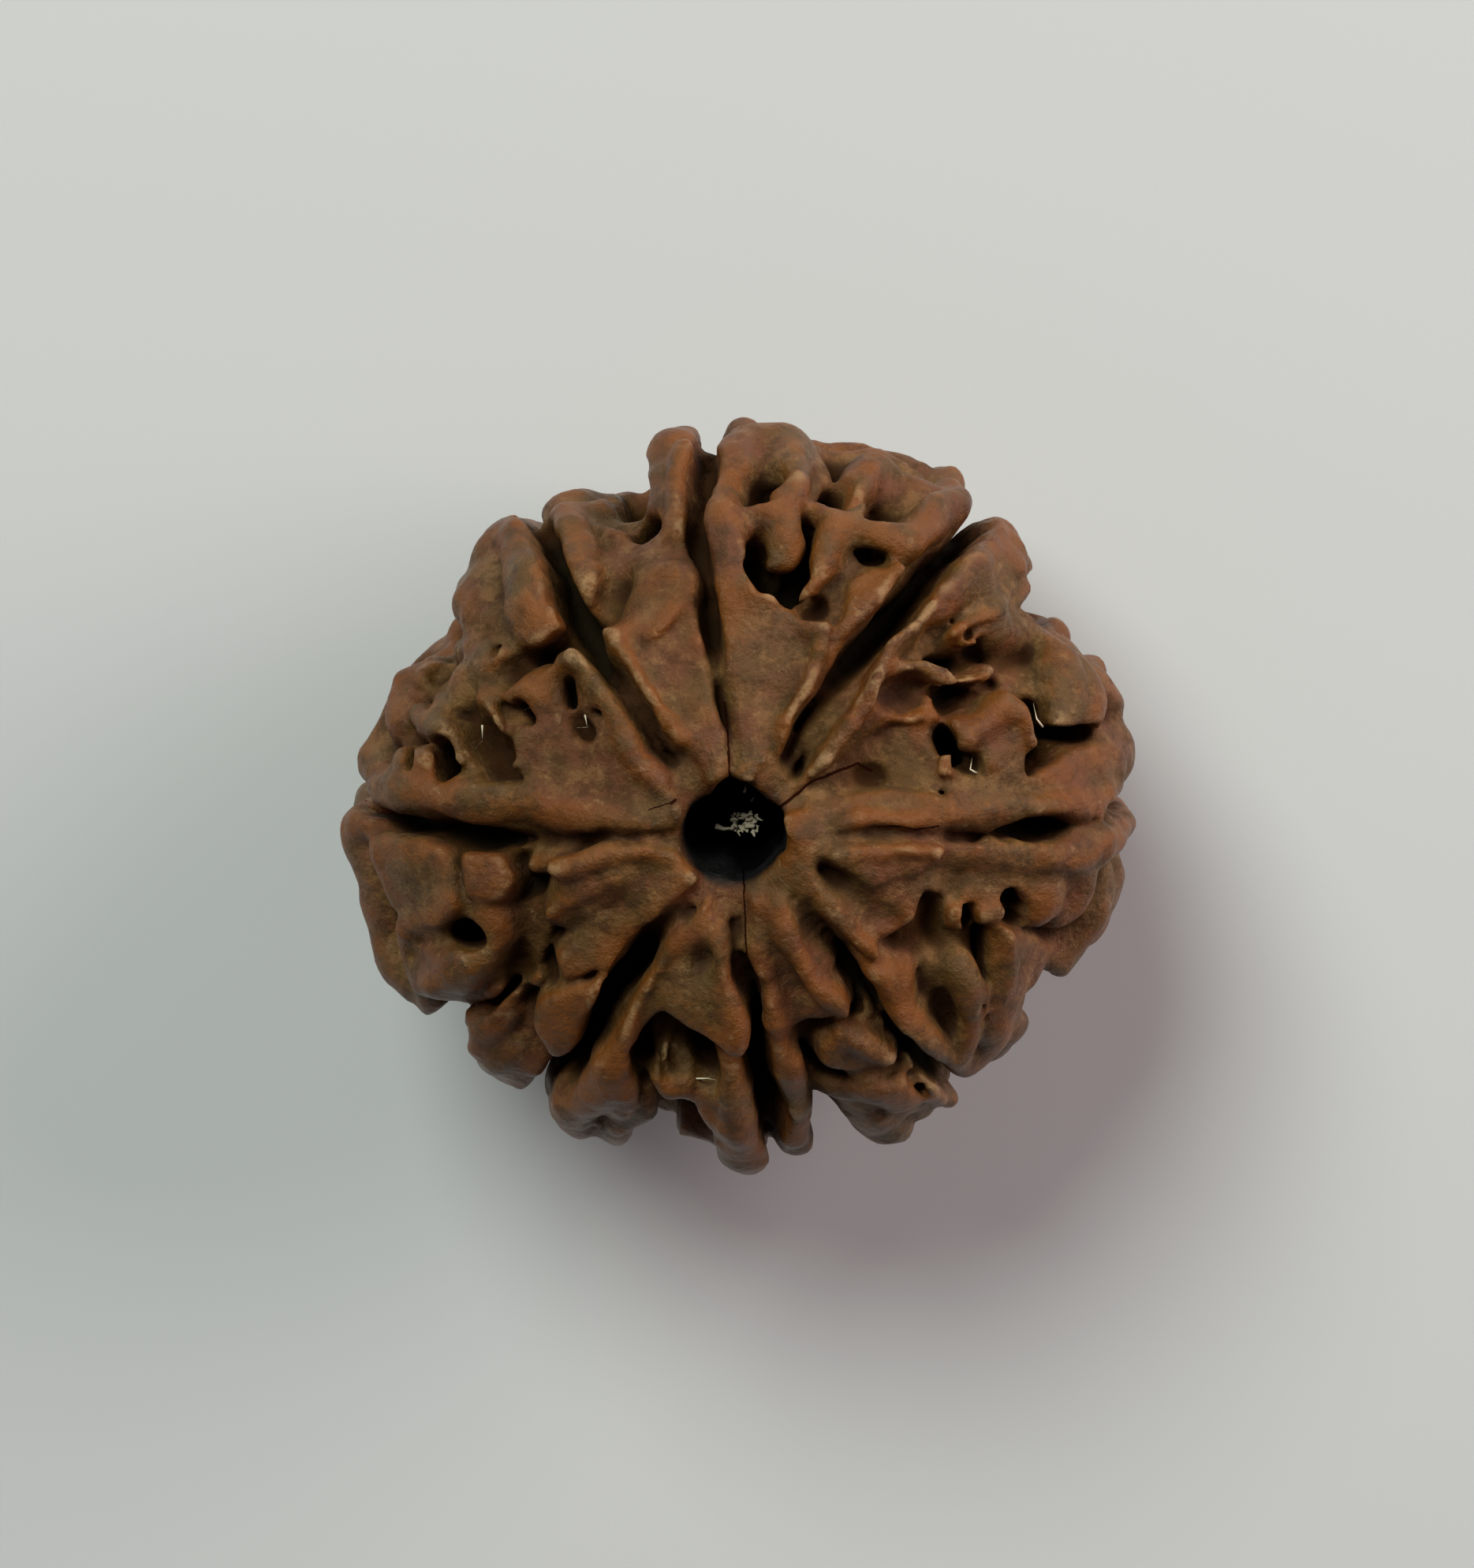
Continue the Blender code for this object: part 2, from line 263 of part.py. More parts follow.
FACE_7 = [
    ("plate", -0.15, 0.4, [(247, 6), (241, 20), (239.5, 29), (241.5, 41), (246, 37.5), (251, 30),
                           (258, 14)]),
    ("plate", -0.05, 0.4, [(250, 6), (249, 29), (258, 29.3), (266, 31.7), (270, 31.2), (268, 22),
                           (265, 12)]),
    ("ridge", 0.3, [(263, 11, 0.0), (265, 16, 0.05), (267, 22, 0.1), (269.3, 27, 0.15), (269.8, 31, 0.1)]),
    ("ridge", 0.45, [(244, 15, -0.2), (240.5, 22, -0.05), (240.3, 29, 0.0), (241.6, 35, 0.1)]),
    ("scoop", 0.75, 0.4, [(254.5, 20)]),
    ("plate", -1.0, 0.5, [(247, 36), (248, 42), (257, 46.5), (266, 44), (268, 32), (256, 30)]),
    ("ridge", 0.75, [(241.8, 35, 0.0), (243.3, 41, 0.15), (244.6, 46, 0.2), (244.5, 52, 0.2)]),
    ("ridge", 1.05, [(243.4, 50, 0.0), (243, 58, 0.3), (243.5, 68, 0.5), (245.5, 78, 0.6)]),
    ("ridge", 0.5, [(247.8, 47, -0.1), (248.8, 53, -0.1), (248.8, 61, -0.1)]),
    ("ridge", 0.7, [(252, 50, -0.8), (252.4, 57, -0.5), (251.5, 66, -0.2), (251, 78, 0.1)]),
    ("ridge", 0.3, [(255.5, 29, -0.5), (255, 34, -0.45), (254, 40, -0.4)]),
    ("ridge", 0.4, [(248.5, 38.5, -0.4), (251, 41.5, -0.4), (254, 44.8, -0.35), (257, 46.3, -0.35),
                    (260, 44.3, -0.35), (263, 46, -0.35)]),
    ("ridge", 0.6, [(268, 33, -0.5), (269.3, 39, 0.0), (270, 46, 0.15), (271, 53, 0.2)]),
    ("ridge", 0.85, [(271, 52, 0.1), (271, 61, 0.2), (271.5, 72, 0.2)]),
    ("ridge", 0.3, [(264.8, 43, -0.3), (266, 49, -0.2), (267.6, 56, -0.1), (268, 63, 0.0)]),
    ("scoop", 0.42, 1.2, [(251.5, 32.5), (250.8, 36)]),
    ("scoop", 0.5, 1.3, [(259.5, 33.5), (259, 37.5)]),
    ("pit", 0.26, 2.6, [(248.3, 40), (250.6, 44)]),
    ("pit", 0.3, 2.2, [(263.8, 40), (264.8, 43.5)]),
]
FACE_8 = [
    ("plate", -0.1, 0.4, [(284, 6), (281, 18), (280.5, 30), (290, 30.5), (300, 29.5), (298, 18), (299, 6)]),
    ("plate", -0.9, 0.4, [(297, 6), (297, 27), (300.5, 29), (304, 22), (304.5, 12)]),
    ("ridge", 0.26, [(300, 9, 0.0), (299, 13, 0.1), (297.6, 18, 0.15), (298.3, 24, 0.2),
                     (300.8, 29.2, 0.25)]),
    ("ridge", 0.45, [(284, 12, -0.2), (281.5, 19, -0.1), (281, 27, 0.0), (281, 34, 0.05)]),
    ("ridge", 0.75, [(280.6, 34, 0.05), (280.3, 42, 0.15), (280.2, 50, 0.2), (279.8, 58, 0.2),
                     (279.5, 68, 0.1)]),
    ("plate", -0.95, 0.4, [(284, 31), (285.5, 45), (291, 46), (297, 40), (297, 31)]),
    ("plate", -0.1, 0.35, [(292, 32), (298, 36), (301.7, 43.5), (296, 44), (290, 40)]),
    ("ridge", 0.3, [(294.5, 33, -0.2), (298.3, 36.5, 0.0), (300, 40, 0.1), (301.6, 44, 0.2)]),
    ("ridge", 0.95, [(297, 47, -0.1), (299.3, 51, 0.1), (300, 56, 0.15)]),
    ("ridge", 0.6, [(303, 48, -0.3), (304, 54, 0.0), (304.7, 61, 0.2), (304.6, 70, 0.4), (305, 80, 0.4)]),
    ("ridge", 0.5, [(286.5, 46, -0.6), (290, 48, -0.5), (293, 49, -0.5)]),
    ("ridge", 0.85, [(292.5, 51, -0.7), (293.5, 60, -0.2), (295, 70, 0.2), (295, 80, 0.3)]),
    ("ridge", 0.7, [(299.5, 62, -0.1), (300.5, 72, 0.2)]),
    ("scoop", 0.65, 0.6, [(287.8, 33.5)]),
    ("scoop", 0.35, 0.9, [(298, 47.5), (300.8, 47)]),
    ("pit", 0.3, 2.0, [(287.6, 39.5), (289.5, 44)]),
    ("pit", 0.25, 1.6, [(289.5, 44), (292, 46)]),
    ("pit", 0.2, 1.4, [(302.6, 47), (302.4, 53), (302.8, 60)]),
]
FACE_9 = [
    ("plate", 0.05, 0.25, [(349, 6), (354, 25), (353, 27.5), (344, 27), (340.5, 20), (343, 11)]),
    ("plate", -0.15, 0.3, [(345, 11), (344, 27), (338, 27.5), (331.5, 26.5), (333, 19), (339, 11)]),
    ("plate", -0.3, 0.35, [(335, 6), (332, 26), (324, 25), (317.5, 23.5), (319.5, 15), (324, 8)]),
    ("ridge", 0.24, [(346, 11, 0.0), (350, 18, 0.1), (353, 26, 0.15)]),
    ("ridge", 0.28, [(331, 10, -0.2), (322, 15, -0.05), (318.8, 19, 0.0), (317.5, 24, 0.1)]),
    ("ridge", 0.5, [(314.5, 25, -0.4), (313.4, 28.5, -0.1), (310.2, 33, 0.05), (308.6, 39, 0.15),
                    (309, 45, 0.2), (308.5, 51, 0.2)]),
    ("ridge", 0.85, [(309.5, 50, 0.0), (310.5, 57, 0.1), (311.5, 66, 0.0)]),
    ("plate", -0.6, 0.4, [(353, 26), (353.5, 40), (343, 38), (339, 34), (337.5, 27)]),
    ("plate", -0.2, 0.5, [(353, 33), (353.5, 46), (343.5, 44.5), (338, 38), (340, 33)]),
    ("plate", -0.05, 0.5, [(353.5, 43), (354, 62), (347.5, 60), (345, 50), (344, 43)]),
    ("ridge", 0.7, [(354.3, 32, -0.2), (354.3, 40, 0.05), (354, 48, 0.15), (354, 57, 0.2), (355, 68, 0.3),
                    (355.3, 80, 0.3)]),
    ("ridge", 0.35, [(341.5, 27.5, -0.2), (337.5, 30, -0.1), (337.3, 35, 0.0), (339.5, 39, 0.0),
                     (343, 43, 0.05)]),
    ("plate", -1.1, 0.4, [(336, 28), (337, 40), (326, 44), (318, 38), (316, 30), (326, 26)]),
    ("ridge", 0.35, [(341.5, 43.5, 0.05), (338, 46.5, 0.1), (334, 48.5, 0.15), (330.5, 50.5, 0.15),
                     (327, 52, 0.1)]),
    ("plate", -0.1, 0.6, [(338, 49), (334.5, 64), (328, 60), (326, 50), (331, 47)]),
    ("ridge", 0.8, [(350, 49, -0.1), (346.5, 50.5, 0.1), (343.3, 52.5, 0.1)]),
    ("ridge", 0.7, [(351, 59, 0.0), (346.5, 62, 0.1), (342, 60, 0.1)]),
    ("ridge", 1.1, [(348.5, 70, 0.1), (343, 72, 0.2), (338, 70, 0.1), (333.5, 66, 0.0)]),
    ("ridge", 0.9, [(349.5, 78, 0.1), (344, 80, 0.3), (339, 79, 0.2)]),
    ("ridge", 0.32, [(318, 30.5, -0.4), (315.8, 34, -0.05), (312.6, 38.5, 0.1)]),
    ("ridge", 0.45, [(326.5, 40, -0.2), (323.3, 45, 0.1), (319.3, 50, 0.2), (314.5, 54, 0.2),
                     (311, 57, 0.1)]),
    ("plate", -1.0, 0.4, [(324, 34), (323, 46), (314, 52), (309, 46), (312, 36)]),
    ("ridge", 0.7, [(327, 53, -0.1), (322.5, 55, 0.1), (318.5, 60, 0.1), (314, 63, 0.0)]),
    ("ridge", 0.9, [(323.5, 60, -0.2), (319.5, 68, -0.1), (314, 74, 0.0)]),
    ("scoop", 0.22, 0.75, [(339, 9.3), (335.5, 10.8)]),
    ("scoop", 0.4, 0.4, [(334, 13), (330, 24)]),
    ("scoop", 0.5, 0.8, [(334.5, 29.5), (331.5, 31.5)]),
    ("pit", 0.4, 2.6, [(337, 37.5), (334.7, 40)]),
    ("scoop", 0.4, 1.0, [(329.5, 32), (326.8, 35.3)]),
    ("pit", 0.34, 2.2, [(344.2, 44.8), (341.3, 49)]),
    ("pit", 0.28, 2.2, [(339.7, 46.5), (338.8, 51)]),
    ("scoop", 0.45, 0.8, [(318, 36), (316, 39)]),
    ("scoop", 0.4, 0.7, [(317, 43), (315.5, 46)]),
    ("pit", 0.18, 1.2, [(323.5, 48), (320.5, 53)]),
]
FACES = [FACE_1, FACE_2, FACE_3, FACE_4, FACE_5, FACE_6, FACE_7, FACE_8, FACE_9]


def waist_share(bearing):
    """The size of the equator against the envelope at a bearing, for one number or a whole array."""
    bearings, drops = zip(*WAIST)
    return 1 - np.interp(np.mod(bearing, 360), bearings, drops) / REACH_X


def true_fall(bearing, fall):
    """The fall on the narrowed bead that lies as far from the axis as the same fall on the envelope."""
    if fall >= 90:
        return fall
    share = min(waist_share(bearing), 1) ** (1 / BLUNTNESS)
    sine = math.sin(math.radians(fall)) / share
    limit = math.sin(math.radians(80))
    if sine < limit:
        return math.degrees(math.asin(sine))
    last = math.degrees(math.asin(limit * share))
    return 80 + 10 * (fall - last) / (90 - last)


def spot(bearing, fall, rise):
    """A place over the envelope and the direction that faces out there."""
    b, t = math.radians(bearing), math.radians(true_fall(bearing, fall))
    share = waist_share(bearing)
    out = math.sin(t) ** BLUNTNESS
    up = math.copysign(abs(math.cos(t)) ** BLUNTNESS, math.cos(t))
    place = np.array([REACH_X * share * out * math.cos(b), REACH_Y * share * out * math.sin(b), REACH_Z * up])
    facing = place / np.array([REACH_X * share, REACH_Y * share, REACH_Z]) ** 2
    facing /= np.linalg.norm(facing)
    upright = np.interp(min(fall, 180 - fall), [0, 50, 80], [1.6, 1.3, 0])
    lean = facing + np.array([0, 0, math.copysign(upright, 90 - fall)])
    lean /= np.linalg.norm(lean)
    return place + lean * rise + np.array([0, 0, CENTRE_Z]), lean


def bend(points):
    """Points along a smooth curve through the given ones, with one more between each pair."""
    if len(points) < 3:
        return points
    path = []
    for i in range(len(points) - 1):
        before, start, end, after = [
            np.array(points[j], float) for j in (max(i - 1, 0), i, i + 1, min(i + 2, len(points) - 1))]
        path += [start, (9 * (start + end) - before - after) / 16]
    path.append(np.array(points[-1], float))
    return path


def join(a, b, blend):
    """The nearer of two distances, rounded where they meet."""
    overlap = np.maximum(blend - np.abs(a - b), 0) / blend
    return np.minimum(a, b) - overlap * overlap * blend / 4


class Clay:
    """A block of distances to the surface of the bead, under zero inside it."""

    def __init__(self, cell):
        self.cell = cell
        self.low = np.array([-16.0, -16.0, -1.9 + cell / 3])
        reach = np.array([32.0, 32.0, 24.0])
        counts = np.ceil(reach / cell).astype(int) + 1
        self.axes = [self.low[i] + cell * np.arange(counts[i]) for i in range(3)]
        x, y, z = self.axes[0][:, None, None], self.axes[1][None, :, None], self.axes[2][None, None, :]
        share = waist_share(np.degrees(np.arctan2(y, x)))
        power = 2 / BLUNTNESS
        across = np.sqrt((x / REACH_X) ** 2 + (y / REACH_Y) ** 2) / share
        size = (across ** power + np.abs((z - CENTRE_Z) / REACH_Z) ** power) ** (1 / power) + 1e-6
        far = np.sqrt(x * x + y * y + (z - CENTRE_Z) ** 2)
        slope = np.sqrt(across ** 2 / REACH_X ** 2 + ((z - CENTRE_Z) / REACH_Z ** 2) ** 2)
        steep = slope * far / (size * size)
        self.distance = (size - 1) * far / size / np.maximum(steep * size, 1) + CORE_DEPTH

    def window(self, corners, margin):
        """The part of the block round some points, as slices and as coordinates."""
        low = np.floor((corners.min(0) - margin - self.low) / self.cell).astype(int)
        high = np.ceil((corners.max(0) + margin - self.low) / self.cell).astype(int) + 1
        cut = tuple(slice(max(a, 0), max(b, 0)) for a, b in zip(low, high))
        x, y, z = (self.axes[i][cut[i]] for i in range(3))
        return cut, x[:, None, None], y[None, :, None], z[None, None, :]

    def wall(self, start, end, inward, depth, radius, spread):
        """Distances to a wall that hangs inward from a line, spread wider at its foot."""
        along = end - start
        length = max(float(along @ along), 1e-9)
        inward = inward - (inward @ along) * along / length
        inward = inward / np.linalg.norm(inward)
        corners = np.array([start, end, start + inward * depth, end + inward * depth])
        cut, x, y, z = self.window(corners, radius + abs(spread) + 1.2)
        x, y, z = x - start[0], y - start[1], z - start[2]
        share = np.clip((x * along[0] + y * along[1] + z * along[2]) / length, 0, 1)
        down = np.clip(x * inward[0] + y * inward[1] + z * inward[2], 0, depth)
        off_x = x - share * along[0] - down * inward[0]
        off_y = y - share * along[1] - down * inward[1]
        off_z = z - share * along[2] - down * inward[2]
        width = radius + spread * down / depth
        return cut, np.sqrt(off_x ** 2 + off_y ** 2 + off_z ** 2) - width

    def add(self, cut, distance, blend):
        self.distance[cut] = join(self.distance[cut], distance, blend)

    def carve(self, cut, distance, blend):
        self.distance[cut] = -join(-self.distance[cut], distance, blend)

    def ridge(self, radius, points, depth=2.6, spread=0.2):
        path = [spot(b, f, rise - radius) for b, f, rise in bend(points)]
        for (start, facing), (end, facing_end) in zip(path, path[1:]):
            cut, distance = self.wall(start, end, -facing - facing_end, depth, radius, spread)
            self.add(cut, distance, 0.38)

    def finger(self, radius, points):
        self.ridge(radius, points, depth=0.3, spread=0.0)

    def plate(self, rise, rounding, corners):
        """A flat with a free edge, its sides sloping a little wider toward the core."""
        places = [spot(b, f, rise) for b, f in corners]
        tops = np.array([place for place, lean in places])
        lean = sum(lean for place, lean in places)
        lean /= np.linalg.norm(lean)
        middle = tops.mean(0)
        edges = list(zip(tops, np.roll(tops, -1, axis=0)))
        flat = sum(np.cross(start - middle, end - middle) for start, end in edges)
        flat *= math.copysign(1 / np.linalg.norm(flat), flat @ lean)
        cut, x, y, z = self.window(np.vstack([tops, tops - lean * 3]), 1.2)
        distance = flat[0] * (x - middle[0]) + flat[1] * (y - middle[1]) + flat[2] * (z - middle[2])
        for start, end in edges:
            side = np.cross(lean, end - start)
            side /= np.linalg.norm(side)
            if side @ (middle - start) > 0:
                side = -side
            side = side * 0.99 + lean * 0.12
            edge = side[0] * (x - start[0]) + side[1] * (y - start[1]) + side[2] * (z - start[2])
            distance = -join(-distance, -edge, rounding)
        self.add(cut, distance, 0.3)

    def pit(self, radius, depth, places, top=0.6):
        path = [spot(b, f, top) for b, f in places]
        if len(path) == 1:
            path = path + [(path[0][0] + 0.01, path[0][1])]
        for (start, facing), (end, facing_end) in zip(path, path[1:]):
            cut, distance = self.wall(start, end, -facing - facing_end, depth + top, radius, -0.2 * radius)
            self.carve(cut, distance, 0.25)

    def scoop(self, radius, depth, places):
        """A shallow round-bottomed hollow, widest at its rim."""
        path = [spot(b, f, 0.6) for b, f in places]
        if len(path) == 1:
            path = path + [(path[0][0] + 0.01, path[0][1])]
        (start, facing), (end, facing_end) = path
        inward = -facing - facing_end
        cut, distance = self.wall(start, end, inward, depth + 0.6, radius * 1.3, -0.6 * radius)
        self.carve(cut, distance, 0.5)

    def seam(self, points):
        """A cleft between two faces, open at the top and narrow at its floor."""
        path = bend(points)
        for one, two in zip(path, path[1:]):
            start, facing = spot(one[0], one[1], 0.5)
            end, facing_end = spot(two[0], two[1], 0.5)
            width, depth = (one[2] + two[2]) / 2, (one[3] + two[3]) / 2 + 0.5
            cut, distance = self.wall(start, end, -facing - facing_end, depth, width * 1.1, -0.5 * width)
            self.carve(cut, distance, 0.3)

    def valley(self, points):
        """A soft hollow between two faces, its slopes meeting at the bottom."""
        path = bend(points)
        for one, two in zip(path, path[1:]):
            start, facing = spot(one[0], one[1], 0.3)
            end, facing_end = spot(two[0], two[1], 0.3)
            width, depth = (one[2] + two[2]) / 2, (one[3] + two[3]) / 2 + 0.3
            cut, distance = self.wall(start, end, -facing - facing_end, depth, width, 0.1 - width)
            self.carve(cut, distance, 0.4)

    def collar(self, fall, rise):
        """The ground round a mouth of the hole, where the nine faces run together."""
        self.plate(rise, 0.4, [(bearing, fall) for bearing in range(0, 360, 30)])

    def hole(self):
        """The thread hole, wide at the mouth and narrower inside."""
        x, y, z = self.axes[0][:, None, None], self.axes[1][None, :, None], self.axes[2][None, None, :]
        mouth = np.interp(np.degrees(np.arctan2(y, x)) % 360, *zip(*MOUTH))
        radius = mouth * np.interp(z, *zip(*HOLE_WIDTHS))
        self.carve((slice(None),) * 3, np.sqrt(x * x + y * y) - radius, 0.25)

    def stand(self):
        """The small flat that the bead rests on."""
        self.distance = np.maximum(self.distance, -self.axes[2][None, None, :])


def lower_net(clay):
    """The sides and the underside, which the mouth side hides: the same kinds of form by a seeded rule."""
    draw = random.Random(SEED)
    edges = sorted(bearing for bearing, depth in LOWER_SEAMS)
    for left, right in zip(edges, edges[1:] + [edges[0] + 360]):
        span = right - left
        for side in (1, -1):
            edge = left if side > 0 else right
            flange = []
            for fall in (80, 92, 103, 115, 128, 140, 151, 160):
                away = 5.5 + 2.5 * (fall > 130) + 5 * (fall > 150) + draw.uniform(-1.5, 1.5)
                flange.append((edge + side * away, fall, draw.uniform(-0.45, 0.15)))
            clay.ridge(draw.uniform(0.7, 0.95), flange)
        clay.plate(-0.1, 0.4, [(left + 0.25 * span, 171), (left + 0.2 * span, 154),
                               (right - 0.2 * span, 152), (right - 0.25 * span, 171)])
        for fall in (86, 98, 110, 122, 134, 146):
            tilt = draw.uniform(-8, 8)
            middle = (left + right) / 2 + draw.uniform(-4, 4)
            ends = [(left + 0.18 * span, fall - tilt, draw.uniform(-0.9, -0.2)),
                    (right - 0.18 * span, fall - tilt, draw.uniform(-0.9, -0.2))]
            crest = (middle, fall + tilt, draw.uniform(-0.6, 0.1))
            clay.ridge(draw.uniform(0.45, 0.8), [ends[0], crest, ends[1]])
        for low, high in ((88, 104), (106, 122), (124, 140)):
            bearing = left + span * draw.uniform(0.3, 0.7)
            fall = draw.uniform(low, high)
            turn = draw.uniform(-3, 3)
            lobe = [(bearing - turn, fall - 4, -0.2), (bearing + turn, fall + 4, 0.0)]
            clay.ridge(draw.uniform(0.7, 1.1), lobe)
        for fall in (92, 104, 116, 128, 139):
            bearing = left + span * draw.uniform(0.3, 0.7)
            clay.pit(draw.uniform(0.3, 0.5), draw.uniform(1.4, 2.6), [(bearing, fall + draw.uniform(-3, 3))])


def lower_seams(clay):
    for seam, (bearing, depth) in zip(SEAMS, LOWER_SEAMS):
        upper = [seam[-1], (bearing, 84, 0.28, depth)] if seam[-1][1] > 40 else []
        under = [(100, 0.3, 1.8), (120, 0.3, 2.2), (140, 0.3, 2.0), (158, 0.24, 1.6), (168, 0.16, 1.0)]
        clay.seam(upper + [(bearing, fall, width, deep) for fall, width, deep in under])


def sculpt(cell):
    clay = Clay(cell)
    clay.collar(11, -0.45)
    clay.collar(165, 0.2)
    lower_net(clay)
    for face in FACES:
        for kind, *how in face:
            getattr(clay, kind)(*how)
    for valley in VALLEYS:
        clay.valley(valley)
    for seam in SEAMS:
        clay.seam(seam)
    lower_seams(clay)
    for bearing, width, depth in BAYS:
        clay.seam([(bearing, fall, width, depth + CORE_DEPTH) for fall in (68, 76, 84, 92, 99)])
    clay.hole()
    clay.stand()
    return clay


def fill_corners(solid):
    """Fills the cells where two parts of the solid, or of the air, would touch at an edge or a corner."""
    count = -1
    while count != solid.sum():
        count = solid.sum()
        for first, second in ((0, 1), (0, 2), (1, 2)):
            views = []
            for i, j in ((0, 0), (1, 0), (0, 1), (1, 1)):
                cut = [slice(None)] * 3
                cut[first] = slice(i, solid.shape[first] - 1 + i)
                cut[second] = slice(j, solid.shape[second] - 1 + j)
                views.append(solid[tuple(cut)])
            crossed = views[0] & views[3] & ~views[1] & ~views[2]
            crossed |= views[1] & views[2] & ~views[0] & ~views[3]
            for view in views:
                view |= crossed
        for opposite in ((0, 0, 0), (1, 0, 0), (0, 1, 0), (0, 0, 1)):
            views = [solid[tuple(slice(k, n - 1 + k) for k, n in zip((i, j, m), solid.shape))]
                     for i in (0, 1) for j in (0, 1) for m in (0, 1)]
            near = opposite[0] * 4 + opposite[1] * 2 + opposite[2]
            total = sum(view.astype(np.int8) for view in views)
            both = views[near] & views[7 - near]
            neither = ~views[near] & ~views[7 - near]
            crossed = ((total == 2) & both) | ((total == 6) & neither)
            for view in views:
                view |= crossed


def skin(clay):
    """Closed quads round the solid, with one corner in each cell that the surface crosses."""
    distance = clay.distance
    solid = distance < 0
    fill_corners(solid)
    least = 0.02 * clay.cell
    distance = np.where(solid, np.minimum(distance, -least), np.maximum(distance, least))
    counts = np.array(solid.shape)
    corners = [solid[i:counts[0] - 1 + i, j:counts[1] - 1 + j, k:counts[2] - 1 + k]
               for i in (0, 1) for j in (0, 1) for k in (0, 1)]
    total = sum(corner.astype(np.int8) for corner in corners)
    cells = np.argwhere((total > 0) & (total < 8))
    number = np.full(total.shape, -1)
    number[tuple(cells.T)] = np.arange(len(cells))
    summed, hits = np.zeros((len(cells), 3)), np.zeros(len(cells))
    steps = np.eye(3, dtype=int)
    for axis in range(3):
        one, two = steps[(axis + 1) % 3], steps[(axis + 2) % 3]
        for i, j in ((0, 0), (0, 1), (1, 0), (1, 1)):
            base = i * one + j * two
            near = distance[tuple((cells + base).T)]
            far = distance[tuple((cells + base + steps[axis]).T)]
            hit = (near < 0) != (far < 0)
            share = np.where(hit, near / np.where(hit, near - far, 1), 0)
            summed += (base + share[:, None] * steps[axis]) * hit[:, None]
            hits += hit
    points = clay.low + clay.cell * (cells + summed / hits[:, None])
    quads = []
    for axis in range(3):
        one, two = steps[(axis + 1) % 3], steps[(axis + 2) % 3]
        near = solid[tuple(slice(0, n - s) for n, s in zip(counts, steps[axis]))]
        far = solid[tuple(slice(s, n) for n, s in zip(counts, steps[axis]))]
        for outward in (True, False):
            edge = np.argwhere(near & ~far if outward else far & ~near)
            ring = [edge, edge - one, edge - one - two, edge - two]
            quad = np.stack([number[tuple(cell.T)] for cell in ring], axis=1)
            quads.append(quad if outward else quad[:, ::-1])
    return points, np.concatenate(quads)


def largest_piece(points, quads):
    """The outer skin alone, without sealed hollows and loose scraps."""
    label = np.arange(len(points))
    while True:
        lowest = label[quads].min(axis=1)
        spread = label.copy()
        for column in quads.T:
            np.minimum.at(spread, column, lowest)
        spread = spread[spread]
        if (spread == label).all():
            break
        label = spread
    names, sizes = np.unique(label[quads[:, 0]], return_counts=True)
    kept = quads[label[quads[:, 0]] == names[sizes.argmax()]]
    used, renumbered = np.unique(kept, return_inverse=True)
    return points[used], renumbered.reshape(kept.shape)


def shell_material():
    material = bpy.data.materials.new("shell")
    material.use_nodes = True
    shader = material.node_tree.nodes["Principled BSDF"]
    shader.inputs["Base Color"].default_value = (0.135, 0.062, 0.034, 1)
    shader.inputs["Roughness"].default_value = 0.5
    shader.inputs["Metallic"].default_value = 0
    return material


def build_bead():
    points, quads = largest_piece(*skin(sculpt(CELL)))
    mesh = bpy.data.meshes.new("bead")
    mesh.from_pydata((points * MM).tolist(), [], quads.tolist())
    mesh.materials.append(shell_material())
    bead = bpy.data.objects.new("bead", mesh)
    bpy.context.collection.objects.link(bead)
    thin = bead.modifiers.new("thin", "DECIMATE")
    thin.ratio = FACES_KEPT / (2 * len(quads))
    bpy.context.view_layer.objects.active = bead
    bead.select_set(True)
    bpy.ops.object.modifier_apply(modifier="thin")
    for vertex in mesh.vertices:
        if abs(vertex.co.z) < FOOT_TOLERANCE * MM:
            vertex.co.z = 0
    bpy.ops.object.shade_smooth()
    return bead


for old in list(bpy.data.objects):
    bpy.data.objects.remove(old, do_unlink=True)
build_bead()
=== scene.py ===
"""Looks of the nine-faced rudraksha bead: its fine surface, its dirt, wax and wear, with painted shade in its
hollows and painted highlights, and the dry pith in it.

The bead is shaped as a field of distances in millimetres and then skinned. Places on it are given as
a bearing (degrees round the axis, from +X) and a fall (degrees down from the mouth), and a rise is a
height in millimetres over the smooth envelope that the highest crests touch.
"""
import math
import random

import bpy
import numpy as np
from mathutils import Matrix, Vector


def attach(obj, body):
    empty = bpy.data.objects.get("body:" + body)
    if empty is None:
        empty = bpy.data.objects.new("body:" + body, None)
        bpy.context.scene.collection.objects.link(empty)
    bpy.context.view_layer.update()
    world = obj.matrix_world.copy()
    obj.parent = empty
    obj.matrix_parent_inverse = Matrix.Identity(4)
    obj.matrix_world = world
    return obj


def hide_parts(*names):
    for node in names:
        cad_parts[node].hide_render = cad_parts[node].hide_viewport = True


MM = 0.001

# The envelope that the crests touch, and the solid core under it
REACH_X = 13.9
REACH_Y = 13.6
REACH_Z = 10.0
CENTRE_Z = 9.7
BLUNTNESS = 0.9
CORE_DEPTH = 2.0

# The block of space that is worked on
BLOCK_LOW = (-16.0, -16.0, -1.9)
BLOCK_SIZE = (32.0, 32.0, 24.0)

# How far walls lean from the envelope's facing toward the vertical, by fall
UPRIGHT = [(0, 1.6), (50, 1.3), (80, 0)]

# The fall from which the rest of the way to the narrowed equator is spread evenly
LAST_STRETCH = 80

# How far over the envelope a pit's or scoop's cut begins
OPENING = 0.6

